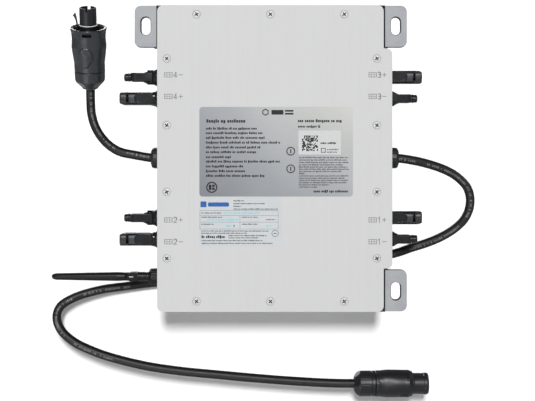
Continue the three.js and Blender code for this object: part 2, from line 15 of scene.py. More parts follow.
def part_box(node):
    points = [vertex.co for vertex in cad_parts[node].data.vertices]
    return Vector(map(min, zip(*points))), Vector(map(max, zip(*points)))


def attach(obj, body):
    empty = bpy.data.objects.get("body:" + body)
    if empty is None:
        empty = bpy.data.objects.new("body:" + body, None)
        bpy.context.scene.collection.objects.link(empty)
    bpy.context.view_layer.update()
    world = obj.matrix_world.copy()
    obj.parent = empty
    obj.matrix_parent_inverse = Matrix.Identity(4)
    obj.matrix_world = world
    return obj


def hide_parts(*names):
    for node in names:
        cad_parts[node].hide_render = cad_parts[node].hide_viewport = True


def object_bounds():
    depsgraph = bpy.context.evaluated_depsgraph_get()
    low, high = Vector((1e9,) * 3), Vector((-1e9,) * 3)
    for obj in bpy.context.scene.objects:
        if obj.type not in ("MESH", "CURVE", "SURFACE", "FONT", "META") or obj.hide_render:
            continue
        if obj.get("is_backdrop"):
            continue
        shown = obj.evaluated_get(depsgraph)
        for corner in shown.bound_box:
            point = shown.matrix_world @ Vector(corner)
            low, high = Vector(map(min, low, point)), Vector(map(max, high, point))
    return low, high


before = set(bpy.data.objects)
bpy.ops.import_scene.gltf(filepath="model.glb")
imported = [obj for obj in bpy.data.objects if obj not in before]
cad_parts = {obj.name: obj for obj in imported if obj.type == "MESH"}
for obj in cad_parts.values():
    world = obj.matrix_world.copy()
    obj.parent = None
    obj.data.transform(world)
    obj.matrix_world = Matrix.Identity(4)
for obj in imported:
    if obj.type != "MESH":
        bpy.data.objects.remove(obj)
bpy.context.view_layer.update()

SCENE = bpy.context.scene
RNG = random.Random(20)  # shared by the screws and the printing, in that order

# ---------------------------------------------------------------- driving sizes (mm)
HOUSING_HALF_W, HOUSING_HALF_H = 109.8, 148.8
COVER_FRONT, COVER_BACK = -42.5, -40
PORT_Y = -25                           # height of every side port's axis
PV_Z = (80.6, 59.4, -58.8, -80.0)      # the four input ports of each side, top to bottom
AC_Z, ANTENNA_Z = 0.5, -117.2
SCREW_X = (-72.5, -0.3, 71.9)
SCREW_Z = (97.7, 32.5, -32.7, -97.7)
# clockwise from the top left, as seen from the front
SCREWS = ([(x, 141.0) for x in SCREW_X] + [(103.8, z) for z in SCREW_Z]
          + [(x, -139.7) for x in SCREW_X[::-1]] + [(-101.6, z) for z in SCREW_Z[::-1]])
LEAD_RADIUS, LEAD_STEP, LEAD_SEGMENTS = 4.42, 2.6, 28
SHARP_ANGLE = radians(32)


# ---------------------------------------------------------------- node helpers
def blank_tree(owner):
    owner.use_nodes = True
    owner.node_tree.nodes.clear()
    return owner.node_tree


def feed(tree, socket, value):
    """Links a socket, or sets a plain value; three numbers make an opaque colour."""
    if isinstance(value, bpy.types.NodeSocket):
        tree.links.new(value, socket)
        return
    if socket.type == "RGBA" and len(value) == 3:
        value = (*value, 1.0)
    socket.default_value = value


def add_node(tree, kind, inputs=(), **props):
    """Adds a node; inputs is a list in socket order or a dict by socket name or index."""
    node = tree.nodes.new(kind)
    for name, value in props.items():
        setattr(node, name, value)
    for key, value in inputs.items() if isinstance(inputs, dict) else enumerate(inputs):
        feed(tree, node.inputs[key], value)
    return node


class Surface:
    """A Principled material with short calls for its texture nodes."""

    INPUTS = {"color": "Base Color", "metal": "Metallic", "rough": "Roughness",
              "spec": "Specular IOR Level", "normal": "Normal"}

    def __init__(self, name):
        self.material = bpy.data.materials.new(name)
        self.tree = blank_tree(self.material)
        self.shader = self.node("ShaderNodeBsdfPrincipled")
        self.node("ShaderNodeOutputMaterial", [self.shader.outputs[0]])
        self.source = self.node("ShaderNodeTexCoord")

    def node(self, kind, inputs=(), **props):
        return add_node(self.tree, kind, inputs, **props)

    def finish(self, **values):
        for name, value in values.items():
            feed(self.tree, self.shader.inputs[self.INPUTS[name]], value)
        return self.material

    def coords(self, scale=(1, 1, 1), rotate=(0, 0, 0), move=(0, 0, 0), uv=False):
        return self.node("ShaderNodeMapping", {
            "Vector": self.source.outputs["UV" if uv else "Object"],
            "Scale": scale, "Rotation": rotate, "Location": move}).outputs[0]

    def noise(self, scale, detail=3.0, rough=0.6, rotate=(0, 0, 0), uv=False):
        """Noise; a scale of three numbers stretches it along the axes."""
        stretch, scale = (scale, 1.0) if isinstance(scale, tuple) else ((1, 1, 1), scale)
        return self.node("ShaderNodeTexNoise", {
            "Vector": self.coords(stretch, rotate, uv=uv),
            "Scale": scale, "Detail": detail, "Roughness": rough}).outputs[0]

    def voronoi(self, scale, feature="F1", out="Distance", randomness=1.0):
        return self.node("ShaderNodeTexVoronoi", {
            "Vector": self.coords(), "Scale": scale, "Randomness": randomness},
            feature=feature).outputs[out]

    def random(self, seed):
        return self.node("ShaderNodeTexWhiteNoise", {"W": seed}, noise_dimensions="1D").outputs[0]

    def math(self, operation, *values):
        return self.node("ShaderNodeMath", values, operation=operation).outputs[0]

    def times(self, first, second):
        return self.math("MULTIPLY", first, second)

    def sway(self, value, by, around, middle=0.5):
        """around + (value - middle) * by"""
        return self.math("MULTIPLY_ADD", self.math("SUBTRACT", value, middle), by, around)

    def off_centre(self, value, centre=0.5):
        return self.math("ABSOLUTE", self.math("SUBTRACT", value, centre))

    def span(self, value, start=0.3, stop=0.7, to=(0.0, 1.0), kind="LINEAR"):
        """Maps start..stop to the range given by to."""
        return self.node("ShaderNodeMapRange", {
            "Value": value, "From Min": start, "From Max": stop,
            "To Min": to[0], "To Max": to[1]}, interpolation_type=kind).outputs[0]

    def xyz(self, vector):
        return self.node("ShaderNodeSeparateXYZ", [vector]).outputs

    def mix(self, factor, first, second, blend="MIX"):
        return self.node("ShaderNodeMix", {0: factor, 6: first, 7: second},
                         data_type="RGBA", blend_type=blend).outputs[2]

    def ramp(self, value, stops):
        """A colour ramp of (position, colour or grey level)."""
        node = self.node("ShaderNodeValToRGB", [value])
        elements = node.color_ramp.elements
        while len(elements) < len(stops):
            elements.new(0.5)
        for element, (position, color) in zip(elements, stops):
            element.position = position
            element.color = (*(color if isinstance(color, tuple) else (color,) * 3), 1.0)
        return node.outputs[0]

    def tones(self, value, low, high):
        return self.ramp(value, [(0.3, low), (0.7, high)])

    def bump(self, height, strength, distance):
        return self.node("ShaderNodeBump", {
            "Strength": strength, "Distance": distance, "Height": height}).outputs[0]


# ---------------------------------------------------------------- materials
def cover_brushed():
    """Brushed sheet: long vertical scratches in colour, roughness and relief."""
    mat = Surface("cover_brushed")
    wide = mat.noise(scale=(260, 40, 3))
    fine = mat.noise(scale=(1900, 300, 14), detail=4, rough=0.7)
    hair = mat.noise(scale=(5200, 800, 30), detail=2)
    cloud = mat.noise(scale=(9, 9, 7), detail=2, rough=0.5)
    shade = mat.sway(wide, by=0.045, around=1.0)
    shade = mat.sway(fine, by=0.08, around=shade)
    shade = mat.sway(cloud, by=0.03, around=shade)
    grey = mat.node("ShaderNodeCombineColor", [shade, shade, shade]).outputs[0]
    return mat.finish(color=mat.mix(1.0, (0.545, 0.546, 0.547), grey, "MULTIPLY"),
                      metal=0.03, rough=mat.span(fine, to=(0.50, 0.62)), spec=0.06,
                      normal=mat.bump(mat.math("ADD", fine, hair), strength=0.10,
                                      distance=0.00008))


def housing_cast():
    """Bead-blasted casting with a faint orange-peel relief and darker pits."""
    mat = Surface("housing_cast")
    grain = mat.noise(scale=1500, detail=5, rough=0.7)
    peel = mat.noise(scale=260, rough=0.5)
    cloud = mat.noise(scale=18, rough=0.5)
    pits = mat.span(mat.voronoi(scale=420), start=0.02, stop=0.16)
    color = mat.tones(cloud, (0.40, 0.405, 0.41), (0.48, 0.485, 0.49))
    color = mat.mix(mat.times(mat.math("SUBTRACT", 1.0, pits), 0.35), color, (0.24, 0.245, 0.25))
    height = mat.math("MULTIPLY_ADD", peel, 1.5, grain)
    return mat.finish(color=color, metal=0.35, rough=mat.span(grain, to=(0.46, 0.62)),
                      normal=mat.bump(height, strength=0.22, distance=0.0002))


def ear_zinc():
    """Zinc-plated steel: soft two-tone crystals and fine rolled lines."""
    mat = Surface("ear_zinc")
    cell = mat.voronoi(scale=95, out="Color")
    tone = mat.node("ShaderNodeSeparateColor", [cell]).outputs[0]
    cloud = mat.noise(scale=60)
    line = mat.noise(scale=(60, 60, 2400))
    color = mat.ramp(mat.sway(tone, by=0.35, around=cloud), [
        (0.2, (0.312, 0.318, 0.350)), (0.5, (0.338, 0.345, 0.364)), (0.8, (0.352, 0.370, 0.376))])
    return mat.finish(color=color, metal=0.05, rough=mat.span(line, to=(0.46, 0.60)), spec=0.12,
                      normal=mat.bump(line, strength=0.12, distance=0.0001))


def ear_sheared_edge_and_shade():
    """Dark sheared edge of the ears, torn across the sheet; the same dark is also painted shade on
    the ear's faces near the cabinet and on rims that face the cabinet's middle.
    """
    mat = Surface("ear_sheared_edge_and_shade")
    tear = mat.noise(scale=(900, 120, 900), detail=4, rough=0.7)
    return mat.finish(color=mat.tones(tear, 0.035, 0.085), metal=0.3,
                      rough=mat.span(tear, to=(0.5, 0.8)),
                      normal=mat.bump(tear, strength=0.5, distance=0.0003))


def screw_steel():
    """Stainless screw with soft wear."""
    mat = Surface("screw_steel")
    grain = mat.noise(scale=1800, detail=4)
    wear = mat.noise(scale=350, detail=2, rough=0.5)
    return mat.finish(color=mat.tones(wear, (0.50, 0.50, 0.51), (0.60, 0.60, 0.61)),
                      metal=0.12, spec=0.2, rough=mat.span(grain, to=(0.42, 0.55)),
                      normal=mat.bump(grain, strength=0.15, distance=0.00008))


def screw_recess():
    """Driver recess, darker than the head: painted shade in the cross."""
    mat = Surface("screw_recess")
    grain = mat.noise(scale=2500)
    return mat.finish(color=mat.tones(grain, 0.07, 0.15), metal=0.2, spec=0.2,
                      rough=mat.span(grain, start=0.2, stop=0.8, to=(0.45, 0.7)),
                      normal=mat.bump(grain, strength=0.3, distance=0.0001))


def plastic(name, dark, light, rough, grain=2600, spec=0.5, scuff=0.4, bump=0.12):
    """Moulded plastic: spark-eroded grain, a slow tone change and light scuffs on top."""
    mat = Surface(name)
    grain = mat.noise(scale=grain)
    cloud = mat.noise(scale=70, rough=0.55)
    scratch = mat.noise(scale=(500, 500, 90), detail=5, rough=0.75, rotate=(0.3, 0.5, 0.2))
    scuffed = tuple(min(1.0, level * 2.4 + 0.01) for level in light)
    scuffs = mat.times(mat.span(scratch, start=0.60, stop=0.75), scuff)
    uneven = mat.math("MULTIPLY_ADD", cloud, 0.5, mat.times(grain, 0.5))
    return mat.finish(color=mat.mix(scuffs, mat.mix(cloud, dark, light), scuffed),
                      rough=mat.span(uneven, to=rough), spec=spec,
                      normal=mat.bump(grain, strength=bump, distance=0.00012))


def seal_rubber():
    mat = Surface("seal_rubber_black")
    grain = mat.noise(scale=900, detail=4)
    return mat.finish(color=mat.tones(grain, 0.008, 0.018), rough=mat.span(grain, to=(0.6, 0.8)),
                      spec=0.25, normal=mat.bump(grain, strength=0.3, distance=0.0002))


def sheath(name, phase, printed):
    """Rubber sheath with a faded row of plain blocks that drifts round the lead, and a painted
    highlight along its front.

    U is metres along the lead, V goes once round it; printed lists the (start, end) in U.
    """
    mat = Surface(name)
    x, y, _ = mat.xyz(mat.coords(uv=True))
    grain = mat.noise(scale=1300, detail=4)
    ribs = mat.noise(scale=(700, 6, 1), uv=True)
    smear = mat.noise(scale=(90, 9, 1), detail=4, rough=0.65, uv=True)
    base = mat.mix(smear, (0.0030, 0.0030, 0.0033), (0.0085, 0.0085, 0.0090))
    # one block per cell of 1.9 mm; some blocks and some runs of them are left out
    cell = mat.times(x, 1000 / 1.9)
    chance = mat.random(mat.math("FLOOR", cell))
    run_chance = mat.random(mat.math("FLOOR", mat.times(cell, 0.16)))
    wave = mat.math("SINE", mat.math("MULTIPLY_ADD", x, 2 * pi / 0.9, phase))
    centre = mat.math("ADD", mat.times(wave, 0.05), 0.5)
    half_height = mat.math("MULTIPLY_ADD", chance, 0.020, 0.026)
    half_width = mat.math("MULTIPLY_ADD", chance, 0.14, 0.26)
    in_height = mat.math("LESS_THAN", mat.off_centre(y, centre), half_height)
    in_width = mat.math("LESS_THAN", mat.off_centre(mat.math("FRACT", cell)), half_width)
    block_on = mat.math("GREATER_THAN", chance, 0.16)
    run_on = mat.math("GREATER_THAN", run_chance, 0.22)
    area = None
    for start, end in printed:
        part = mat.times(mat.math("GREATER_THAN", x, start), mat.math("LESS_THAN", x, end))
        area = part if area is None else mat.math("ADD", area, part)
    ink = mat.times(mat.times(in_height, in_width), mat.times(mat.times(block_on, run_on), area))
    worn = mat.span(mat.noise(scale=420, detail=4, rough=0.7), start=0.34, stop=0.62,
                    to=(0.15, 1.0))
    # painted highlight: a lighter band along the side of the lead that faces the front, broken up
    # by the smear noise
    front_painted_highlight = mat.span(mat.off_centre(y), start=0.03, stop=0.15, to=(1.0, 0.0), kind="SMOOTHSTEP")
    front_painted_highlight = mat.times(front_painted_highlight, mat.span(smear, start=0.25, stop=0.75, to=(0.45, 1.0)))
    base = mat.mix(front_painted_highlight, base, (0.027, 0.027, 0.028))
    return mat.finish(color=mat.mix(mat.times(ink, worn), base, (0.20, 0.20, 0.20)),
                      rough=mat.span(smear, to=(0.34, 0.50)), spec=0.24,
                      normal=mat.bump(mat.math("MULTIPLY_ADD", ribs, 0.5, grain),
                                      strength=0.18, distance=0.00025))


def label_foil():
    """Satin foil: a painted reflection, a slow diagonal brightening of the colour, with fine
    horizontal grain.
    """
    mat = Surface("label_silver_foil")
    x, _, z = mat.xyz(mat.coords())
    grain = mat.noise(scale=(30, 30, 1700))
    cloud = mat.noise(scale=(14, 14, 9), detail=2, rough=0.5, rotate=(0, 0.7, 0))
    # painted reflection: the colour brightens to the right and upwards from the label's middle
    painted_reflection = mat.sway(x, by=0.293 / 0.075, around=0.495, middle=0.00525)
    painted_reflection = mat.sway(z, by=0.22 / 0.0437, around=painted_reflection, middle=0.00665)
    painted_reflection = mat.sway(cloud, by=0.30, around=painted_reflection)
    color = mat.ramp(painted_reflection, [(0.0, (0.205, 0.217, 0.236)), (0.35, (0.292, 0.306, 0.327)),
                             (0.65, (0.392, 0.402, 0.410)), (1.0, (0.520, 0.525, 0.495))])
    lines = mat.ramp(grain, [(0.2, 0.95), (0.8, 1.03)])
    return mat.finish(color=mat.mix(1.0, color, lines, "MULTIPLY"), metal=0.04,
                      rough=mat.span(grain, to=(0.46, 0.58)), spec=0.12,
                      normal=mat.bump(grain, strength=0.05, distance=0.00005))


def label_film():
    """White film with a faint mottle."""
    mat = Surface("label_white_film")
    grain = mat.noise(scale=500)
    cloud = mat.noise(scale=60, detail=2, rough=0.5)
    return mat.finish(color=mat.tones(cloud, (0.500, 0.528, 0.546), (0.540, 0.556, 0.570)),
                      rough=mat.span(grain, to=(0.50, 0.62)), spec=0.12,
                      normal=mat.bump(grain, strength=0.06, distance=0.00005))


def ink(name, color, thin, worn=0.3):
    """Printing ink that turns to the thin colour where it is worn."""
    mat = Surface(name)
    grain = mat.noise(scale=900, rough=0.7)
    wear = mat.times(mat.span(grain, start=0.45, stop=0.75), worn)
    return mat.finish(color=mat.mix(wear, color, thin),
                      rough=mat.span(grain, to=(0.5, 0.65)), spec=0.12)


def mottled(name, low, high, scale, metal, rough, bump):
    """Two tones mixed by one noise."""
    mat = Surface(name)
    grain = mat.noise(scale=scale, detail=4)
    return mat.finish(color=mat.mix(grain, low, high), metal=metal,
                      rough=mat.span(grain, to=rough),
                      normal=mat.bump(grain, strength=bump, distance=0.0002))


def board_mask():
    """Solder mask over a net of tracks."""
    mat = Surface("board_solder_mask")
    cloud = mat.noise(scale=300)
    edges = mat.voronoi(scale=160, feature="DISTANCE_TO_EDGE", randomness=0.35)
    line = mat.span(edges, start=0.03, stop=0.06, to=(1.0, 0.0))
    mask = mat.mix(cloud, (0.008, 0.07, 0.03), (0.012, 0.10, 0.045))
    return mat.finish(color=mat.mix(line, mask, (0.02, 0.19, 0.075)),
                      rough=mat.span(cloud, to=(0.28, 0.42)),
                      normal=mat.bump(line, strength=0.2, distance=0.0001))


def winding_copper():
    """Enamelled winding: turns run round the ring."""
    mat = Surface("winding_copper")
    x, _, z = mat.xyz(mat.coords(move=(0.018, 0, 0)))
    angle = mat.math("ARCTAN2", z, x)
    turns = mat.math("ABSOLUTE", mat.math("SINE", mat.times(angle, 36)))
    color = mat.ramp(turns, [(0.0, (0.12, 0.035, 0.012)), (0.5, (0.52, 0.20, 0.08)),
                             (1.0, (0.70, 0.31, 0.14))])
    return mat.finish(color=color, metal=0.7, rough=0.32,
                      normal=mat.bump(turns, strength=0.7, distance=0.0008))


COVER, CAST, EAR, EAR_EDGE_AND_SHADE = cover_brushed(), housing_cast(), ear_zinc(), ear_sheared_edge_and_shade()
SCREW, RECESS_SHADE = screw_steel(), screw_recess()
PV = plastic("connector_plastic", (0.0055, 0.0062, 0.0076), (0.0115, 0.0126, 0.0150),
             rough=(0.17, 0.27), spec=0.42, bump=0.08)
PV_WAIST = plastic("connector_plastic_waist", (0.0330, 0.0350, 0.0380), (0.0480, 0.0500, 0.0530),
                   rough=(0.26, 0.38), spec=0.40, scuff=0.8)
PV_LIP = plastic("connector_plastic_lip", (0.0200, 0.0215, 0.0240), (0.0330, 0.0350, 0.0380),
                 rough=(0.22, 0.34), grain=1800, spec=0.45, scuff=1.0)
GLAND = plastic("gland_plastic", (0.0075, 0.0080, 0.0090), (0.0140, 0.0145, 0.0155),
                rough=(0.34, 0.48), grain=1900, spec=0.40)
TRUNK = plastic("trunk_plastic", (0.0135, 0.0155, 0.0195), (0.0245, 0.0275, 0.0325),
                rough=(0.23, 0.34), grain=1500, spec=0.60, scuff=0.3)
TRUNK_DARK = plastic("trunk_plastic_dark", (0.0055, 0.0056, 0.0080), (0.0100, 0.0103, 0.0135),
                     rough=(0.34, 0.46), grain=1500, spec=0.42, scuff=0.3)
# near black: the carrier's own black plastic, made darker still as painted shade inside the hood's
# windows
CARRIER_BLACK_AND_SHADE = plastic("carrier_black_and_painted_shade", (0.0012, 0.0012, 0.0014), (0.0030, 0.0031, 0.0035),
                  rough=(0.50, 0.66), grain=1800, spec=0.12, scuff=0.2)
ANTENNA = plastic("antenna_plastic", (0.0040, 0.0042, 0.0046), (0.0078, 0.0080, 0.0088),
                  rough=(0.28, 0.40), grain=1700, spec=0.25, scuff=0.25)
RUBBER = seal_rubber()
SHEATH_SHORT = sheath("sheath_short", phase=0.3, printed=[(0.025, 0.175)])
SHEATH_LONG = sheath("sheath_long", phase=2.2, printed=[(0.026, 0.27), (0.46, 0.66)])
FOIL, FILM = label_foil(), label_film()
INK_BLACK = ink("ink_black", (0.020, 0.021, 0.024), thin=(0.12, 0.12, 0.13), worn=0.35)
INK_GREY = ink("ink_grey", (0.075, 0.078, 0.088), thin=(0.25, 0.26, 0.27), worn=0.5)
INK_MARK = ink("ink_port_mark", (0.235, 0.235, 0.24), thin=(0.36, 0.36, 0.36))
INK_BLUE = ink("ink_blue", (0.030, 0.105, 0.33), thin=(0.15, 0.30, 0.52))
INK_CYAN = ink("ink_cyan", (0.235, 0.53, 0.60), thin=(0.45, 0.64, 0.70), worn=0.4)
# painted highlight for the antenna's pivot heads, made with the ink material
PIVOT_HIGHLIGHT_PAINT = ink("painted_pivot_highlight", (0.86, 0.87, 0.87), thin=(0.74, 0.75, 0.76))
INK_FIELD = ink("ink_field", (0.545, 0.55, 0.55), thin=(0.50, 0.51, 0.515))
TIN = mottled("contact_tin", (0.55, 0.54, 0.52), (0.70, 0.69, 0.66), scale=1500, metal=0.9,
              rough=(0.22, 0.36), bump=0.1)
PALE_RUBBER = mottled("seal_pale_rubber", (0.62, 0.62, 0.64), (0.78, 0.78, 0.80), scale=900,
                      metal=0, rough=(0.5, 0.65), bump=0.15)


# ---------------------------------------------------------------- placing
def shift(x=0, y=0, z=0):
    return Matrix.Translation((x, y, z))


def turn(angle, axis):
    return Matrix.Rotation(angle, 4, axis)


X_TO_Y = turn(pi / 2, "Z")
HALF_ROLL = turn(pi, "X")


def port(side, z):
    """Frame of a side port, local +X outwards; side is -1 for left and 1 for right."""
    place = shift(side * HOUSING_HALF_W, PORT_Y, z)
    return place @ turn(pi, "Z") if side < 0 else place


def aim(base, direction):
    """Frame at base with local +X along direction and local +Y as near to +Y as it can be."""
    along = Vector(direction).normalized()
    back = Vector((0, 1, 0)) - along * along.y
    back.normalize()
    axes = Matrix((along, back, along.cross(back)))
    return Matrix.Translation(base) @ axes.transposed().to_4x4()


# ---------------------------------------------------------------- mesh helpers (millimetres)
def link_object(name, data):
    item = bpy.data.objects.new(name, data)
    SCENE.collection.objects.link(item)
    return item


def solid(verts, faces):
    mesh = bpy.data.meshes.new("part")
    mesh.from_pydata(verts, [], faces)
    mesh.validate()
    piece = link_object("part", mesh)
    bm = bmesh.new()
    bm.from_mesh(mesh)
    bmesh.ops.remove_doubles(bm, verts=bm.verts, dist=1e-5)
    bmesh.ops.recalc_face_normals(bm, faces=bm.faces)
    if bm.calc_volume(signed=True) < 0:
        bmesh.ops.reverse_faces(bm, faces=bm.faces)
    bm.to_mesh(mesh)
    bm.free()
    return piece


def moved(piece, place):
    piece.data.transform(place)
    return piece


def copy_of(piece):
    return link_object("part", piece.data.copy())


def add_materials(piece, *materials):
    for material in materials:
        piece.data.materials.append(material)


def discard(*pieces):
    for piece in pieces:
        mesh = piece.data
        bpy.data.objects.remove(piece)
        if mesh.users == 0:
            bpy.data.meshes.remove(mesh)


def measure(mesh):
    """The number of open edges and the volume."""
    bm = bmesh.new()
    bm.from_mesh(mesh)
    result = sum(1 for edge in bm.edges if not edge.is_manifold), abs(bm.calc_volume())
    bm.free()
    return result


def combine(piece, others, operation, least_share, material_mode="INDEX"):
    """Applies the others one by one and discards them.

    A result that isn't closed, or keeps less than least_share of the volume, is tried again
    with the other piece nudged by microns; the best result is kept.
    """
    for other in others:
        best = None
        least = measure(piece.data)[1] * least_share
        for attempt in range(5):
            if attempt:
                nudge = shift(0.0021 * attempt, -0.0013 * attempt, 0.0017 * attempt)
                other.data.transform(nudge @ turn(0.00011 * attempt, "Y"))
            modifier = piece.modifiers.new("cut", "BOOLEAN")
            modifier.object = other
            modifier.operation = operation
            modifier.solver = "EXACT"
            modifier.material_mode = material_mode
            bpy.context.view_layer.update()
            graph = bpy.context.evaluated_depsgraph_get()
            mesh = bpy.data.meshes.new_from_object(piece.evaluated_get(graph))
            piece.modifiers.clear()
            gaps, volume = measure(mesh)
            bad = gaps if len(mesh.polygons) > 3 and volume > least else 10 ** 6
            if best is None or bad < best[0]:
                best = (bad, mesh)
            if bad == 0:
                break
        old, piece.data = piece.data, best[1]
        bpy.data.meshes.remove(old)
    discard(*others)
    return piece


def cut(piece, cutters, material_mode="INDEX"):
    return combine(piece, cutters, "DIFFERENCE", 0.02, material_mode)


def join(piece, parts):
    return combine(piece, parts, "UNION", 0.99)


def finish(piece, name, replaces=None, material=None, place=None, body="cabinet"):
    """Names, places, scales, cleans and shades a piece, and puts it on its body."""
    mesh = piece.data
    piece.name = mesh.name = name
    if material:
        mesh.materials.clear()
        mesh.materials.append(material)
    if place is not None:
        mesh.transform(place)
    mesh.transform(Matrix.Scale(0.001, 4))
    bm = bmesh.new()
    bm.from_mesh(mesh)
    bmesh.ops.remove_doubles(bm, verts=bm.verts, dist=2e-7)
    bmesh.ops.dissolve_degenerate(bm, edges=bm.edges, dist=2e-7)
    bmesh.ops.recalc_face_normals(bm, faces=bm.faces)
    bm.to_mesh(mesh)
    bm.free()
    mesh.polygons.foreach_set("use_smooth", [True] * len(mesh.polygons))
    mesh.set_sharp_from_angle(angle=SHARP_ANGLE)
    modifier = piece.modifiers.new("flat_faces", "WEIGHTED_NORMAL")
    modifier.keep_sharp = True
    modifier.weight = 80
    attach(piece, body)
    if replaces:
        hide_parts(replaces)
    return piece


# ---------------------------------------------------------------- outlines
def arc(cx, cy, radius, start, end, steps, radius_y=None):
    """Points of a circular or elliptic arc, angles in degrees."""
    radius_y = radius if radius_y is None else radius_y
    angles = [radians(start + (end - start) * i / steps) for i in range(steps + 1)]
    return [(cx + radius * cos(a), cy + radius_y * sin(a)) for a in angles]


def rrect(u0, u1, v0, v1, r, steps=6):
    """Rounded rectangle, counter-clockwise."""
    corners = ((u1 - r, v0 + r, -90), (u1 - r, v1 - r, 0),
               (u0 + r, v1 - r, 90), (u0 + r, v0 + r, 180))
    return [p for u, v, start in corners for p in arc(u, v, r, start, start + 90, steps)]


def fillet(points, steps=4, closed=False):
    """Rounds the corners of a polyline; a point is (a, b) or (a, b, corner radius)."""
    out, count = [], len(points)
    for i, point in enumerate(points):
        radius = point[2] if len(point) > 2 else 0
        corner = Vector(point[:2])
        if radius <= 0 or (not closed and i in (0, count - 1)):
            out.append(tuple(corner))
            continue
        before = Vector(points[i - 1][:2]) - corner
        after = Vector(points[(i + 1) % count][:2]) - corner
        length_before, length_after = before.length, after.length
        before, after = before / length_before, after / length_after
        angle = acos(max(-1, min(1, before.dot(after))))
        if angle > pi - 0.02 or angle < 0.02:
            out.append(tuple(corner))
            continue
        trim = min(radius / tan(angle / 2), 0.49 * length_before, 0.49 * length_after)
        fitted = trim * tan(angle / 2)
        centre = corner + (before + after).normalized() * (fitted / sin(angle / 2))
        start, end = corner + before * trim - centre, corner + after * trim - centre
        sweep = acos(max(-1, min(1, start.normalized().dot(end.normalized()))))
        sign = 1 if start.cross(end) > 0 else -1
        for k in range(steps + 1):
            t = sweep * k / steps * sign
            out.append((centre.x + start.x * cos(t) - start.y * sin(t),
                        centre.y + start.x * sin(t) + start.y * cos(t)))
    return out


def dense(profile, step, closed=False):
    """Splits the lengths of a profile so that none is longer than step."""
    out, count = [], len(profile)
    for i in range(count if closed else count - 1):
        a, b = profile[i], profile[(i + 1) % count]
        parts = max(1, ceil(dist(a, b) / step))
        for j in range(parts):
            t = j / parts
            out.append((a[0] + (b[0] - a[0]) * t, a[1] + (b[1] - a[1]) * t))
    if not closed:
        out.append(profile[-1])
    return out


def tidy(points):
    """Drops repeated points and makes the outline counter-clockwise."""
    out = []
    for point in points:
        if not out or dist(point, out[-1]) > 1e-4:
            out.append(tuple(point))
    if dist(out[0], out[-1]) < 1e-4:
        out.pop()
    area = sum(a[0] * b[1] - b[0] * a[1] for a, b in zip(out, out[1:] + out[:1]))
    return out if area > 0 else out[::-1]


def inset(points, depth):
    """Moves a counter-clockwise outline inwards."""
    out, count = [], len(points)
    for i in range(count):
        before, here = Vector(points[i - 1]), Vector(points[i])
        edge1 = (here - before).normalized()
        edge2 = (Vector(points[(i + 1) % count]) - here).normalized()
        normal1, normal2 = Vector((-edge1.y, edge1.x)), Vector((-edge2.y, edge2.x))
        share = max(0.25, 1 + normal1.dot(normal2))
        out.append(tuple(here + (normal1 + normal2) / share * depth))
    return out


def smooth(low, high, x):
    t = max(0.0, min(1.0, (x - low) / (high - low)))
    return t * t * (3 - 2 * t)


def window(x, rise0, rise1, fall0, fall1):
    """Rises smoothly to 1 and falls back to 0."""
    return smooth(rise0, rise1, x) * (1 - smooth(fall0, fall1, x))


def groove(count, angle):
    """Even waves from 0 to 1 round the axis."""
    return 0.5 - 0.5 * cos(count * angle)


def to_flats(r, angle, sides, flat, phase, share):
    """Draws a radius in to a polygon with the given flat-to-axis distance."""
    wedge = 2 * pi / sides
    offset = (angle - phase + wedge / 2) % wedge - wedge / 2
    return r + (min(r, flat / cos(offset)) - r) * share


# ---------------------------------------------------------------- solids
def stack(rings):
    """Joins rings of equally many points in turn and caps both ends."""
    count, last = len(rings[0]), len(rings) - 1
    faces = []
    for i in range(last):
        for k in range(count):
            k2 = (k + 1) % count
            faces.append((i * count + k, (i + 1) * count + k,
                          (i + 1) * count + k2, i * count + k2))
    faces.append(tuple(range(count)))
    faces.append(tuple(range(last * count, (last + 1) * count)))
    return solid([point for ring in rings for point in ring], faces)


def slab(outline, low, high, low_rim=0, high_rim=0, steps=3, axis="Y"):
    """A plate from low to high along axis with rounded rims; the outline is (x, z) or (x, y)."""
    outline = tidy(outline)
    quarter = [pi / 2 * i / steps for i in range(steps + 1)]
    rims = [(high_rim * (1 - sin(a)), high - high_rim * (1 - cos(a)))
            for a in quarter] if high_rim else [(0, high)]
    rims += [(low_rim * (1 - cos(a)), low + low_rim * (1 - sin(a)))
             for a in quarter] if low_rim else [(0, low)]
    rings = []
    for depth, level in rims:
        ring = inset(outline, depth) if abs(depth) > 1e-9 else outline
        rings.append([(u, level, v) if axis == "Y" else (u, v, level) for u, v in ring])
    return stack(rings)


def side_slab(side, outline, near, far, near_rim=0, far_rim=0, steps=3):
    """A slab on the +Y or -Y side; near and far are distances from the XZ plane."""
    if side > 0:
        return slab(outline, near, far, near_rim, far_rim, steps)
    return slab(outline, -far, -near, far_rim, near_rim, steps)


def brick(x, y, z, radius, steps=2):
    """A block with every edge rounded; each of x, y, z is a pair of ends in any order."""
    (x0, x1), (y0, y1), (z0, z1) = sorted(x), sorted(y), sorted(z)
    radius = min(radius, (x1 - x0) * 0.45, (y1 - y0) * 0.45, (z1 - z0) * 0.45)
    corner = min(radius * 1.25 + 0.02, (x1 - x0) * 0.49, (z1 - z0) * 0.49)
    return slab(rrect(x0, x1, z0, z1, corner, steps + 1), y0, y1, corner * 0.8, corner * 0.8,
                steps)


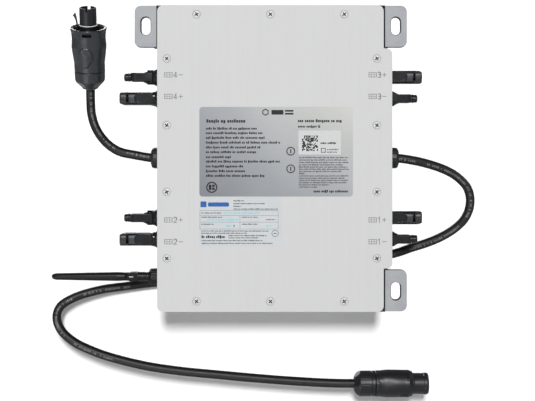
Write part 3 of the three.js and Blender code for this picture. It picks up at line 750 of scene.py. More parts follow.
def revolve(profile, segments, closed=False, shape=None):
    """Turns (station, radius) about local +X. Angle 0 is local +Y, a quarter turn is +Z.

    shape(station, radius, angle) may change the radius.
    """
    verts, faces, rings = [], [], []
    for x, r in profile:
        if r < 1e-6:
            rings.append([len(verts)])
            verts.append((x, 0, 0))
            continue
        rings.append(list(range(len(verts), len(verts) + segments)))
        for k in range(segments):
            a = 2 * pi * k / segments
            radius = shape(x, r, a) if shape else r
            verts.append((x, radius * cos(a), radius * sin(a)))
    count = len(rings)
    for i in range(count if closed else count - 1):
        ring, following = rings[i], rings[(i + 1) % count]
        if len(ring) == 1 and len(following) == 1:
            continue
        for k in range(segments):
            k2 = (k + 1) % segments
            if len(ring) == 1:
                faces.append((ring[0], following[k], following[k2]))
            elif len(following) == 1:
                faces.append((ring[k], following[0], ring[k2]))
            else:
                faces.append((ring[k], following[k], following[k2], ring[k2]))
    return solid(verts, faces)


# ---------------------------------------------------------------- cabinet
FIN_PITCH, FIN_FOOT = 12.5, -9.6
BOSS_HALF = 5.5


def fin(x, z0, z1):
    """A drafted fin on the back with sloped, rounded ends."""
    side = fillet([(z0, FIN_FOOT), (z0, -6.0, 2.0), (z0 + 5.5, 0.0, 3.0),
                   (z1 - 5.5, 0.0, 3.0), (z1, -6.0, 2.0), (z1, FIN_FOOT)], 5)
    # offset across the fin, drop of the crest there
    rows = ((-1.25, 0.95), (-0.75, 0.35), (-0.35, 0), (0.35, 0), (0.75, 0.35), (1.25, 0.95))
    verts, faces, n = [], [], len(side)
    for offset, drop in rows:
        for z, y in side:
            across = offset
            if abs(offset) > 1.2:
                rise = max(0.0, min(1.0, (y - FIN_FOOT) / -FIN_FOOT))
                across = copysign(1.25 - 0.35 * rise, offset)
            verts.append((x + across, y - (drop if y > -8 else 0), z))
    last = (len(rows) - 1) * n
    for start in range(0, last, n):
        for k in range(start, start + n - 1):
            faces.append((k, k + 1, k + n + 1, k + n))
    faces.append(tuple(range(n)))
    faces.append(tuple(reversed(range(last, last + n))))
    # the foot
    faces.append((*range(last, -1, -n), *range(n - 1, last + n, n)))
    return solid(verts, faces)


def screw_boss(x, z):
    """A block that reaches from behind a screw to the nearest wall."""
    across_x, across_z = (x - BOSS_HALF, x + BOSS_HALF), (z - BOSS_HALF, z + BOSS_HALF)
    if abs(z) > 120:
        side = copysign(1, z)
        across_z = (z - BOSS_HALF * side, side * (HOUSING_HALF_H - 1.3))
    else:
        side = copysign(1, x)
        across_x = (x - BOSS_HALF * side, side * (HOUSING_HALF_W - 1.3))
    return brick(across_x, (-39, -11), across_z, 0.6)


def build_housing():
    w, h = HOUSING_HALF_W, HOUSING_HALF_H
    housing = slab(rrect(-w, w, -h, h, 7, 10), -39, -9, 0.4, 2.6, 4)
    parts = []
    for i in range(17):
        x = (i - 8) * FIN_PITCH
        # the middle fins stop short of the square land
        for z0, z1 in [(-142, -24), (24, 142)] if abs(x) < 24 else [(-142, 142)]:
            parts.append(fin(x, z0, z1))
    parts.append(slab(rrect(-20, 20, -20, 20, 3, 6), FIN_FOOT, 0, 0, 0.8, 3))
    join(housing, parts)
    cut(housing, [slab(rrect(-w + 3, w - 3, -h + 3, h - 3, 4, 8), -41, -12, 0, 0.8, 2)])
    join(housing, [screw_boss(x, z) for x, z in SCREWS])
    cuts = []
    for x, z in SCREWS:
        bore = revolve([(-41, 0), (-41, 2.3), (-25.5, 2.3), (-24, 0)], 20)
        cuts.append(moved(bore, shift(x, 0, z) @ X_TO_Y))
    for side in (-1, 1):
        holes = [(z, 6.25) for z in PV_Z] + [(AC_Z, 8.3)]
        if side < 0:
            holes.append((ANTENNA_Z, 5.0))
        for z, r in holes:
            cuts.append(moved(revolve([(-4.5, 0), (-4.5, r), (2, r), (2, 0)], 32), port(side, z)))
    cut(housing, cuts)
    finish(housing, "housing_cast_body", "housing", CAST)


def build_gasket():
    gasket = slab(rrect(-109.4, 109.4, -148.4, 148.4, 7, 10), COVER_BACK, -39, 0.25, 0.25, 2)
    cut(gasket, [slab(rrect(-107.2, 107.2, -146.2, 146.2, 4.8, 8), -41, -38)])
    finish(gasket, "cover_gasket_ring", "cover_gasket", RUBBER)


def cover_outline():
    """A sheet whose right side widens into a flange between the right ears."""
    left, right, half_h, c = -111.1, 110.5, 150.0, 6.0
    far, low, high = 118.8, -107.4, 107.7
    inner = 1  # radius of the two inner corners
    return (arc(right - c, -half_h + c, c, -90, 0, 9)
            + arc(right + inner, low - inner, inner, 180, 90, 4)
            + arc(far - c, low + c, c, -90, 0, 9)
            + arc(far - c, high - c, c, 0, 90, 9)
            + arc(right + inner, high + inner, inner, 270, 180, 4)
            + arc(right - c, half_h - c, c, 0, 90, 9)
            + arc(left + c, half_h - c, c, 90, 180, 9)
            + arc(left + c, -half_h + c, c, 180, 270, 9))


def build_cover():
    cover = slab(cover_outline(), COVER_FRONT, COVER_BACK, 0.45, 0.25, 4)
    sink = fillet([(-1.5, 0), (-1.5, 4.9), (0.0, 4.35, 0.15), (1.9, 2.35, 0.1), (4, 2.35),
                   (4, 0)], 3)
    cut(cover, [moved(revolve(sink, 40), shift(x, COVER_FRONT, z) @ X_TO_Y) for x, z in SCREWS])
    finish(cover, "cover_sheet", "cover_plate", COVER)


def cross_recess():
    # depth, half width of the arms, reach of the arms
    levels = ((-0.5, 0.62, 2.30), (0.12, 0.58, 2.22), (1.6, 0.38, 1.35), (2.1, 0.18, 0.5))
    rings = []
    for x, a, b in levels:
        plus = [(a, a), (a, b), (-a, b), (-a, a), (-b, a), (-b, -a),
                (-a, -a), (-a, -b), (a, -b), (a, -a), (b, -a), (b, a)]
        rings.append([(x, u, v) for u, v in plus])
    recess = stack(rings)
    add_materials(recess, SCREW, RECESS_SHADE)
    # the recess walls take the painted shade
    for face in recess.data.polygons:
        face.material_index = 1
    return moved(recess, turn(pi / 4, "X"))


def build_screws():
    head = revolve(fillet([(0.10, 0), (0.13, 2.6, 1.0), (0.30, 3.72, 0.25), (2.15, 1.9, 0.3),
                           (11.6, 1.9, 0.3), (12.6, 0)], 4), 40)
    add_materials(head, SCREW, RECESS_SHADE)
    cut(head, [cross_recess()], "TRANSFER")
    for number, (x, z) in enumerate(SCREWS, 1):
        tag = "screw_%02d" % number
        spin = turn(RNG.uniform(-0.25, 0.25), "X")
        place = shift(x, COVER_FRONT + 0.05, z) @ X_TO_Y @ spin
        finish(copy_of(head), tag, "cover_" + tag, place=place)
    discard(head)


def ear_slot(x, z):
    """A slot cutter that flares at both faces, as a punched slot does."""
    ring = tidy(rrect(x - 4.5, x + 4.5, z - 8.5, z + 8.5, 4.499, 12))
    # y, inset of the slot outline
    levels = ((-41, -1.25), (-39.27, -0.95), (-38.9, -0.55), (-38.4, -0.22), (-37.8, 0),
              (-35.2, 0), (-34.9, -0.15), (-34.7, -0.35), (-33, -0.6))
    return stack([[(u, y, v) for u, v in inset(ring, depth)] for y, depth in levels])


def build_ear(tag, side, up):
    """An ear; side is 1 for right and -1 for left, up is 1 for top and -1 for bottom."""
    z0, z1 = sorted((up * 109, up * 150))
    edge = up * 150
    outline = ([(111.7, z0)] + arc(127.5, z0 + 6, 6, -90, 0, 9)
               + arc(127.5, z1 - 6, 6, 0, 90, 9) + [(111.7, z1)])
    ear = slab([(side * u, v) for u, v in outline], -39.25, -34.75, 0.75, 0.3, 4)
    parts = [
        brick((side * 111.73, side * 116.2), (-38.6, -18), (z0 + 0.5, z1 - 0.5), 0.5),
        brick((side * 110.1, side * 112.7), (-28, -18.03), (z0 + 0.53, z1 - 0.53), 0.4),
        brick((side * 103.5, side * 112.7), (-37, -20), (edge - 0.8 * up, edge + 0.6 * up), 0.4)]
    rivet_profile = fillet([(-1.2, 0), (-1.2, 3.1), (0.25, 3.1, 0.3), (1.3, 2.5, 0.8),
                            (1.95, 1.2, 1.0), (2.05, 0)], 3)
    middle = (z0 + z1) / 2
    for z in (middle - 11, middle + 11):
        place = shift(side * 116.2, -26, z)
        if side < 0:
            place = place @ turn(pi, "Z")
        parts.append(moved(revolve(rivet_profile, 28), place))
    join(ear, parts)
    cut(ear, [ear_slot(side * 122.5, up * 129.9)])
    add_materials(ear, EAR, EAR_EDGE_AND_SHADE)
    # dark faces: the sheared walls of the flange and the slot, plus painted shade on rims that face
    # the cabinet's middle and on all that lies near the cabinet
    for face in ear.data.polygons:
        x, y, reach, steep = face.center.x, face.center.y, abs(face.center.x), abs(face.normal.y)
        inward = -face.normal.x * side - face.normal.z * up > 0.15
        wall = steep < (0.86 if inward else 0.45) and -39.22 < y < -34.9 and reach > 111.5
        gap = reach < 112.0 and steep < 0.8
        face.material_index = 1 if wall or gap or reach < 111.0 else 0
    finish(ear, "ear_" + tag, "mounting_ear_" + tag)


# ---------------------------------------------------------------- input connectors
# profiles: (station, radius, corner radius)
PV_COLLAR = [(-9, 0), (-9, 5.8, 0.3), (0.3, 5.8), (0.3, 8.9, 0.2)]
FLARE = PV_COLLAR + [(3.0, 8.85, 0.5), (5.0, 7.7, 2), (8.2, 6.9, 2), (10.5, 6.5), (10.5, 0)]
BARREL = PV_COLLAR + [
    (3.2, 8.85, 0.5), (5.6, 7.7, 1.5), (6.6, 7.4, 0.5), (12.4, 7.35, 0.5), (13.4, 6.4, 0.6),
    (17.4, 4.5, 1.2), (26.5, 4.3, 0.1), (27.0, 3.95, 0.1), (34.6, 3.95, 0.7), (35.6, 3.3, 0.3),
    (35.6, 2.6, 0.15), (34.9, 2.5), (20, 2.5), (20, 0)]
CONTACT = [
    (12.8, 0), (12.8, 1.5), (14.2, 1.5), (14.4, 1.35), (14.8, 1.35), (15.0, 1.5),
    (31.4, 1.5, 0.6), (33.3, 0.75, 0.4), (33.6, 0)]
CONTACT_CARRIER = [
    (13.2, 0), (13.2, 4.5), (21, 4.5), (21, 4.28), (29.4, 4.28, 0.1), (29.7, 4.54, 0.1),
    (34.0, 4.54, 0.1), (34.3, 4.28, 0.1), (35.6, 4.28, 0.5), (36.2, 3.7, 0.3),
    (36.2, 2.3, 0.2), (35.4, 2.1), (22, 2.1), (22, 0)]
# up the outside of the hood, then down into its mouth:
# station, half size along y, half size along z, corner radius, inset
HOOD_SECTIONS = (
    (2.6, 7.2, 5.6, 4.0, 0), (4.6, 7.5, 5.9, 4.2, 0), (7.0, 7.6, 6.1, 4.2, 0),
    (10.0, 7.65, 6.4, 4.4, 0), (30.0, 7.65, 6.4, 4.4, 0), (30.4, 8.1, 6.4, 4.5, 0),
    (33.0, 8.2, 6.4, 4.5, 0), (38.4, 8.2, 6.35, 4.4, 0), (39.1, 8.2, 6.35, 4.4, 0.2),
    (39.5, 8.2, 6.35, 4.4, 0.6), (39.6, 8.2, 6.35, 4.4, 1.0), (39.5, 6.9, 4.9, 2.6, -0.15),
    (39.2, 6.9, 4.6, 2.4, 0), (20.6, 6.9, 4.4, 2.4, 0), (20.3, 6.9, 4.4, 2.4, 0.4))
PAD_END, PAD_HALF, PAD_BULGE = 20.0, 5.3, 4.3


def pad_outline(depth):
    """The pad's outline, moved inwards by depth: straight sides and a round end."""
    half = PAD_HALF - depth
    end = arc(PAD_END, 0, PAD_BULGE - depth, -80, 80, 16, half)
    return [(8.0 + depth, -half), (19.8, -half)] + end + [(19.8, half), (8.0 + depth, half)]


def make_hood():
    """Hooded shell with a dished pad on its front and back."""
    rings = []
    for x, half_y, half_z, corner, d in HOOD_SECTIONS:
        ring = tidy(rrect(-half_y + d, half_y - d, -half_z + d, half_z - d,
                          max(0.6, corner - d)))
        rings.append([(x, y, z) for y, z in ring])
    hood = stack(rings)
    join(hood, [revolve(fillet(FLARE), 48)])
    pad = ([(6.5, -PAD_HALF), (PAD_END, -PAD_HALF)]
           + arc(PAD_END, 0, PAD_BULGE, -80, 80, 16, PAD_HALF)
           + [(PAD_END, PAD_HALF), (6.5, PAD_HALF)])
    join(hood, [side_slab(side, pad, 7.0, 8.2, far_rim=0.35) for side in (-1, 1)])
    cuts = []
    for side in (-1, 1):
        cuts.append(side_slab(side, pad_outline(1.15), 7.85, 9, near_rim=0.3, steps=2))
        # a moat round the pad
        moat = side_slab(side, pad_outline(-0.85), 7.15, 9)
        cuts.append(cut(moat, [side_slab(side, pad_outline(-0.02), 6, 10)]))
        # fine lines across the waist and on the lip
        for x in (26.4, 27.8, 29.2):
            cuts.append(brick((x, x + 0.45), (side * 7.4, side * 9), (-5.2, 5.2), 0.08, 1))
        for x in (34.6, 36.0, 37.4):
            cuts.append(brick((x, x + 0.5), (side * 7.9, side * 9), (-4.6, 4.6), 0.08, 1))
    for side in (-1, 1):
        cuts.append(brick((30.6, 33.0), (side * 6.4, side * 9.5), (-4.9, 4.9), 0.25))
    # the lip's corner is taken off on the +Z side
    cuts.append(moved(brick((35.6, 44), (-10, 10), (0, 6), 0.3),
                      shift(37, 0, 5.9) @ turn(radians(24), "Y") @ shift(-37)))
    cuts.append(revolve(fillet([(13, 0), (13, 4.6, 0.3), (21, 4.6), (21, 0)], 3), 32))
    cut(hood, cuts)
    add_materials(hood, PV, PV_WAIST, PV_LIP)
    for face in hood.data.polygons:
        x, y = face.center.x, face.center.y
        if abs(face.normal.y) > 0.5 and abs(y) > 7.0 and 24.9 < x < 30.35:
            face.material_index = 1
        else:
            face.material_index = 2 if x > 33.0 and y * y > 40 else 0
    return hood


def barrel_flutes(x, r, angle):
    """Slightly twisted flutes round the shoulder."""
    if 5.6 < x < 12.6 and r > 6.9:
        twisted = angle + 0.10 * (x - 9)
        return r - 0.85 * groove(14, twisted) * window(x, 5.6, 6.8, 11.6, 12.6)
    return r


def make_barrel():
    barrel = revolve(dense(fillet(BARREL), 0.9), 112, shape=barrel_flutes)
    cuts = []
    for side in (-1, 1):
        for x, y in ((6.3, 5.35), (9.4, 4.45)):
            cuts.append(brick((x, 20), (side * y, side * 10), (-4.5, 4.5), 0.25))
    return cut(barrel, cuts)


def make_finger():
    """Catch finger, outwards is -Y, with a round root."""
    inner, root, root_radius, tip = 5.7, 7.6, 0.85, 28.8
    outer = inner + 2 * root_radius
    side = arc(root, inner + root_radius, root_radius, 90, 270, 6)
    side += [(tip - 0.6, inner), (tip, inner + 0.5), (tip - 2.6, outer + 0.93),
             (tip - 3.1, outer + 0.93), (tip - 3.4, outer + 0.6), (tip - 3.4, outer)]
    finger = slab([(x, -y) for x, y in side], -4.1, 4.1, 0.35, 0.35, axis="Z")
    return join(finger, [brick((x, x + 0.7), (-7.72, -7.2), (-3.3, 3.3), 0.2)
                         for x in (16.2, 18.0, 19.8, 21.6)])


def build_panel_connectors():
    """Hoods and barrels take turns down each side."""
    hood = make_hood()
    contact = revolve(fillet(CONTACT, 3), 24)
    carrier = revolve(fillet(CONTACT_CARRIER, 3), 40)
    barrel = make_barrel()
    seal = revolve(arc(31.0, 4.05, 0.42, 0, 360, 12)[:-1], 48, closed=True)
    finger = make_finger()
    for side_name, side in (("left", -1), ("right", 1)):
        for number, z in enumerate(PV_Z, 1):
            tag = "%s_%d" % (side_name, number)
            place = port(side, z)
            if (number % 2 == 0) == (side < 0):
                if tag in ("left_2", "right_3"):
                    place = place @ HALF_ROLL
                finish(copy_of(hood), "pv_shell_" + tag, "pv_hood_" + tag, place=place)
                finish(copy_of(contact), "pv_contact_" + tag, None, TIN, place)
                finish(copy_of(carrier), "pv_carrier_" + tag, None, CARRIER_BLACK_AND_SHADE, place)
                continue
            finish(copy_of(barrel), "pv_barrel_" + tag, "pv_nose_" + tag, PV, place)
            finish(copy_of(seal), "pv_seal_" + tag, None, RUBBER, place)
            for which in ("front", "back"):
                turned = (which == "front") == (side < 0)
                name = "%s_%s" % (which, tag)
                finish(copy_of(finger), "finger_" + name, "catch_" + name, PV,
                       place @ HALF_ROLL if turned else place, body="catch_" + name)
    discard(hood, contact, carrier, barrel, seal, finger)


# ---------------------------------------------------------------- leads
# points (x, y, z) of the centre lines, from inside the cabinet to the far connector
SHORT_LEAD = [
    (-96, -25, 0.5), (-104, -25, 0.5), (-111, -25, 0.5), (-118.6, -25, 0.7), (-135.7, -25, 3.6),
    (-150.0, -24, 6.7), (-161.1, -21.5, 13.1), (-170.7, -17.5, 22.9), (-177.2, -13.4, 33.8),
    (-180.9, -10.4, 46.5), (-181.6, -10.9, 61.4), (-181.2, -14, 70.4), (-180.9, -17.6, 79.7),
    (-180.7, -20.4, 87.2)]
LONG_LEAD = [
    (96, -25, 0.5), (104, -25, 0.5), (112, -25, 0.5), (120, -25, 0.5), (127, -24.8, 0.2),
    (141.5, -24, -1.9), (156.8, -21.5, -5.4), (172.4, -18, -10.5), (182.8, -15.5, -15.5),
    (191.3, -13, -21.8), (197.9, -11, -29.2), (201.4, -8.5, -39.9), (200.7, -6, -51.6),
    (196.1, -3.5, -61.9), (187.4, -1, -71.0), (175.6, 1.5, -79.0), (160.7, 3.6, -85.8),
    (143.5, 5.0, -91.5), (125.4, 5.6, -97.5), (60, 5.6, -106.5), (0, 5.6, -113),
    (-60, 5.6, -119.5), (-116.5, 5.6, -126.6), (-147.0, 4.2, -130.3), (-173.7, 1, -133.8),
    (-200.3, -3, -141.5), (-213.4, -5.5, -150.2), (-216.5, -7.5, -160.4), (-211.7, -9.5, -173.0),
    (-198.8, -11, -184.4), (-180.6, -12, -193.2), (-162.5, -12.7, -199.5), (-126.5, -13, -208.4),
    (-90.6, -13, -213.8), (-54.7, -13, -217.3), (-18.8, -13, -220.6), (25.7, -13, -224.0),
    (61.8, -13, -225.9), (82.6, -13, -226.2), (92, -13, -226.2), (101, -13, -226.2)]


def centre_line(points, step):
    """Centripetal Catmull-Rom through the points at an even step, and its length."""
    points = [Vector(p) for p in points]
    curve, count = [], len(points)
    for i in range(count - 1):
        p1, p2 = points[i], points[i + 1]
        p0 = points[i - 1] if i else p1 * 2 - p2
        p3 = points[i + 2] if i + 2 < count else p2 * 2 - p1
        d0, d1, d2 = ((b - a).length_squared ** 0.25 for a, b in ((p0, p1), (p1, p2), (p2, p3)))
        tangent1 = ((p1 - p0) / d0 - (p2 - p0) / (d0 + d1) + (p2 - p1) / d1) * d1
        tangent2 = ((p2 - p1) / d1 - (p3 - p1) / (d1 + d2) + (p3 - p2) / d2) * d1
        square = -3 * p1 + 3 * p2 - 2 * tangent1 - tangent2
        cube = 2 * p1 - 2 * p2 + tangent1 + tangent2
        for k in range(40):
            t = k / 40
            curve.append(p1 + tangent1 * t + square * t * t + cube * t ** 3)
    curve.append(points[-1])
    length = sum((b - a).length for a, b in zip(curve, curve[1:]))
    parts = max(2, round(length / step))
    even, passed, j = [curve[0]], 0.0, 0
    for i in range(1, parts):
        want = length * i / parts
        while passed + (curve[j + 1] - curve[j]).length < want:
            passed += (curve[j + 1] - curve[j]).length
            j += 1
        share = (want - passed) / (curve[j + 1] - curve[j]).length
        even.append(curve[j].lerp(curve[j + 1], share))
    even.append(curve[-1])
    return even, length


def lead_rings(line, length):
    """Rings of slightly uneven radius with drawn-in ends, as (points, metres along)."""
    last = len(line) - 1
    lumps = random.Random(5)
    slow_phase, quick_phase, *_ = [lumps.uniform(0, 6.28) for _ in range(4)]
    front = Vector((0, -1, 0))
    # point on the line, share of the radius, shift along the lead
    stations = [(0, 0.80, -0.5)] + [(i, 1.0, 0) for i in range(last + 1)] + [(last, 0.80, 0.5)]
    rings = []
    for i, share, push in stations:
        tangent = (line[min(last, i + 1)] - line[max(0, i - 1)]).normalized()
        forward = (front - tangent * front.dot(tangent)).normalized()
        across = tangent.cross(forward)
        centre = line[i] + tangent * push
        along = length * i / last
        radius = LEAD_RADIUS * share * (1 + 0.004 * sin(along / 13 + slow_phase)
                                        + 0.003 * sin(along / 5.1 + quick_phase))
        # the middle of the ring, v = 0.5, faces the front
        angles = [2 * pi * j / LEAD_SEGMENTS - pi for j in range(LEAD_SEGMENTS)]
        rings.append(([centre + forward * (radius * cos(a)) + across * (radius * sin(a))
                       for a in angles], along / 1000))
    return rings


def sheath_piece(name, rings, material, replaces):
    """One closed length of sheath with its UV map."""
    n = LEAD_SEGMENTS
    faces, uvs = [], []
    for i, ((_, u0), (_, u1)) in enumerate(zip(rings, rings[1:])):
        a, b = i * n, (i + 1) * n
        for j in range(n):
            j2 = (j + 1) % n
            faces.append((a + j, a + j2, b + j2, b + j))
            uvs += [(u0, j / n), (u0, (j + 1) / n), (u1, (j + 1) / n), (u1, j / n)]
    end = (len(rings) - 1) * n
    faces.append(tuple(reversed(range(n))))
    uvs += [(rings[0][1], j / n) for j in range(n)]
    faces.append(tuple(range(end, end + n)))
    uvs += [(rings[-1][1], j / n) for j in range(n)]
    mesh = bpy.data.meshes.new(name)
    mesh.from_pydata([tuple(p) for points, _ in rings for p in points], [], faces)
    layer = mesh.uv_layers.new(name="UVMap")
    for i, uv in enumerate(uvs):
        layer.data[i].uv = uv
    finish(link_object(name, mesh), name, replaces, material)


def build_leads():
    rings = lead_rings(*centre_line(SHORT_LEAD, LEAD_STEP))
    sheath_piece("ac_lead_short_sheath", rings, SHEATH_SHORT, "ac_lead_short")
    # the long lead is two lengths that meet face to face behind the cabinet
    line, length = centre_line(LONG_LEAD, LEAD_STEP)
    rings = lead_rings(line, length)
    split = next(i for i in range(20, len(line)) if line[i].x < 60 and line[i].y > 4) + 1
    name = "ac_lead_long_sheath"
    sheath_piece(name + "_loop", rings[:split + 1], SHEATH_LONG, None)
    sheath_piece(name, rings[split:], SHEATH_LONG, "ac_lead_long")


def gland_grip(x, r, angle):
    if r > 8.8 and x > 1.4:
        return r - 0.30 * groove(18, angle) ** 0.7 * smooth(1.4, 2.4, x)
    return r


def build_glands():
    for side, length, tag in ((-1, 8.8, "left"), (1, 16.8, "right")):
        profile = fillet([
            (-10, 4.9), (-10, 7.8, 0.3), (0.3, 7.8), (0.3, 10.5, 0.3),
            (length - 2.6, 10.45, 1.2), (length - 0.9, 9.6, 0.9), (length, 7.4, 0.6),
            (length, 5.0, 0.3)], 5, closed=True)
        gland = revolve(dense(profile, 1.1, True), 108, True, gland_grip)
        place = port(side, AC_Z)
        finish(gland, "cable_gland_" + tag, "ac_gland_" + tag, GLAND, place)
        # soft lip round the lead
        lip = fillet([
            (length - 3, 4.62), (length - 3, 4.86), (length - 0.4, 4.86),
            (length - 0.4, 5.5, 0.2), (length + 0.25, 5.5, 0.3), (length + 0.45, 4.75, 0.2),
            (length + 0.3, 4.62)], 3, True)
        finish(revolve(lip, 56, True), "gland_seal_" + tag, None, RUBBER, place)


# ---------------------------------------------------------------- trunk connectors
# Local +X runs along the barrel and angle 180 degrees faces the front.
SOCKET = aim(SHORT_LEAD[-3], (0.030, -0.358, 0.934))   # local +Z is to the left
PLUG = aim((83.7, -13, -226.2), (1, 0, 0))             # local +Z is up

# profiles: (station, radius, corner radius)
SOCKET_NUT = [
    (0, 5.1), (0, 6.3, 0.4), (1.4, 8.7, 0.8), (6.6, 14.0, 2.5), (9.5, 14.75, 1.5),
    (18.9, 15.1, 0.35), (19.2, 14.6, 0.2), (19.2, 11.6), (8, 11.6), (8, 5.1)]
SOCKET_SHELL = [
    (12.0, 7.0), (12.0, 10.6, 0.3), (19.6, 10.6), (19.6, 14.7, 0.3), (20.0, 15.05, 0.3),
    (27.5, 15.1, 6), (33.6, 15.9, 8), (44.5, 17.2, 7), (50.2, 16.75, 5), (54.2, 16.6, 5),
    (59.4, 17.2, 4), (62.2, 17.9, 0.5), (62.9, 17.4, 0.4), (62.6, 15.6, 0.35), (61.2, 14.9),
    (24.4, 14.9), (24.4, 7.0)]
SOCKET_INSERT = [
    (24.8, 0), (24.8, 14.3, 0.3), (29.5, 14.3, 0.3), (29.5, 11.8), (56.5, 11.8, 0.4),
    (57.3, 11.2, 0.3), (57.3, 8.3), (81.9, 8.3, 0.5), (82.5, 7.9, 0.25), (82.5, 6.9, 0.2),
    (81.8, 6.7), (76, 6.7), (76, 0)]
SOCKET_SLEEVE = [(70.2, 0), (70.2, 1.15), (75.6, 1.15, 0.2), (75.6, 0.6), (72, 0.6), (72, 0)]
PLUG_NUT = [
    (0, 5.1), (0, 7.2, 0.8), (1.5, 9.9, 1.2), (3.5, 11.7, 2.0), (6, 12.7, 1.2),
    (16.8, 12.75, 0.25), (17.1, 12.2, 0.1), (17.9, 12.2, 0.1), (18.2, 12.75, 0.25),
    (20.6, 12.8, 0.3), (20.9, 12.4), (20.9, 10.4), (10, 10.4), (10, 5.1)]
PLUG_SHELL = [
    (12, 7.0), (12, 9.3, 0.3), (21.3, 9.3), (21.3, 12.6, 0.3), (21.7, 13.0, 0.3),
    (25, 12.95, 3), (33, 13.75, 5), (42, 13.65, 5), (50, 13.45, 4), (54.5, 13.55, 0.8),
    (58.0, 12.2, 0.6), (58.3, 11.6, 0.2), (58.3, 11.0), (30, 11.0), (30, 7.0)]
PLUG_INSERT = [
    (30.4, 0), (30.4, 10.6, 0.3), (59.2, 10.6), (59.6, 10.35), (69.4, 10.35, 0.1),
    (69.8, 10.75, 0.15), (72.6, 10.75, 0.9), (74.2, 9.9, 0.7), (74.4, 8.9, 0.3), (73.8, 8.7),
    (62, 8.7), (62, 0)]
PLUG_PIN = [(62.1, 0), (62.1, 1.2), (70.2, 1.2, 0.5), (71.2, 0.6, 0.3), (71.3, 0)]
# side view (station, local z) of the barbed finger
SOCKET_CATCH = [
    (57.4, 11.5), (57.4, 10.1), (66, 10.2), (73, 11.2), (76.4, 12.0), (77.2, 12.7),
    (74.6, 14.5), (73.6, 14.6), (73.9, 12.8), (72, 12.4), (66, 11.3)]


def three_places(radius, start):
    """Shifts to three places round the axis."""
    angles = [start + i * 2 * pi / 3 for i in range(3)]
    return [shift(0, radius * cos(a), radius * sin(a)) for a in angles]


def socket_nut_shape(x, r, angle):
    """A round skirt with eight flats on the cone."""
    if 0.8 < x < 9.5:
        share = window(x, 0.8, 2.2, 7.8, 9.5)
        return to_flats(r, angle, 8, 7.4 + (x - 1.4) * 0.90, pi + 0.10, share)
    return r


def from_front(angle):
    """Angle from the front, between -pi and pi."""
    return atan2(sin(angle - pi), cos(angle - pi))


def socket_shell_shape(x, r, angle):
    """A raised teardrop pad on the front that narrows at one side of its lower end."""
    middle, half_length, skew = 35.5, 10.3, 0.9
    up = x - middle
    if r < 14.7 or abs(up) >= half_length:
        return r
    from_middle = from_front(angle)
    across = -from_middle * r   # positive towards the left
    half = 6.9 * sqrt(1 - (up / half_length) ** 2)
    low = max(0.0, -up / half_length)
    start = -half * (1 - 0.55 * low) + skew
    end = half * (1 - 0.10 * low) + skew
    inside = window(across, start - 0.7, start + 0.5, end - 0.4, end + 0.35)
    inside *= 1 - smooth(9.0, half_length, abs(up))
    # the pad's face stands on a chord, not on the cylinder
    flat = 17.75 / max(0.75, cos(from_middle - 0.05)) - (0.035 * abs(up)) ** 2
    target = min(max(r + 0.45, flat), r + 1.5)
    return r + (target - r) * inside


def build_socket():
    """The connector at the end of the short lead."""
    nut = revolve(dense(fillet(SOCKET_NUT, 4, True), 0.9, True), 144, True, socket_nut_shape)
    finish(nut, "socket_cable_nut", "ac_socket_nut", TRUNK, SOCKET)

    shell = revolve(dense(fillet(SOCKET_SHELL, 4, True), 0.75, True), 168, True,
                    socket_shell_shape)
    cut(shell, [brick((56.3, 59.7), (-19, -13), (-5.6, 3.5), 0.5),    # slot in the front
                brick((59.6, 64), (-5.5, 1.5), (14.0, 19), 0.4)])     # notch in the left rim
    finish(shell, "socket_shell", "ac_socket_shell", TRUNK, SOCKET)

    insert = revolve(fillet(SOCKET_INSERT), 96)
    cuts = [brick((78.5, 85), (5, 10), (-1.5, 1.5), 0.3),
            brick((79.5, 85), (-10, -5), (-0.8, 0.8), 0.3)]
    places = three_places(3.6, pi / 2)
    for place in places:
        cuts.append(moved(revolve([(70, 0), (70, 1.25), (77, 1.25), (77, 0)], 20), place))
    cut(insert, cuts)
    finish(insert, "socket_insert", "ac_socket_insert", TRUNK_DARK, SOCKET)
    for number, place in enumerate(places, 1):
        finish(revolve(fillet(SOCKET_SLEEVE, 2), 20), "socket_sleeve_%d" % number,
               None, TIN, SOCKET @ place)
    seal = revolve(arc(65.3, 8.55, 0.50, 0, 360, 14, 0.55)[:-1], 72, True)
    finish(seal, "socket_barrel_seal", None, PALE_RUBBER, SOCKET)
    catch = slab(fillet([(x, z, 0.25) for x, z in SOCKET_CATCH], 3, True), -2.3, 0.6,
                 0.25, 0.25, 2)
    finish(catch, "socket_catch", None, TRUNK_DARK, SOCKET)


def plug_nut_shape(x, r, angle):
    """Six flats on the cone and fine grooves round the skirt."""
    if x < 5.6 and r > 6.5:
        share = window(x, 0.2, 1.2, 4.2, 5.6)
        return to_flats(r, angle, 6, 7.2 + x * 0.95, pi + 0.62, share)
    if 6.4 < x < 16.5 and r > 12:
        return r - 0.16 * groove(30, angle) * window(x, 6.4, 7.4, 15.6, 16.5)
    return r


def plug_shell_shape(x, r, angle):
    """A thumb hollow on the front and a raised facet near the nut."""
    if r < 12.0:
        return r
    girth = from_front(angle) * r   # positive downwards
    r -= 0.9 * exp(-((x - 33.0) / 6.5) ** 2 - ((girth + 2.5) / 6.0) ** 2)
    return r + 0.35 * window(x, 22.0, 22.9, 25.2, 26.2) * (1 - smooth(3.4, 4.2, abs(girth)))


def plug_insert_shape(x, r, angle):
    """Four shallow hollows round the barrel."""
    if r > 10.2 and 60.0 < x < 70.0:
        return r - 0.35 * smooth(0.55, 0.85, cos(4 * (angle - 0.3)))
    return r


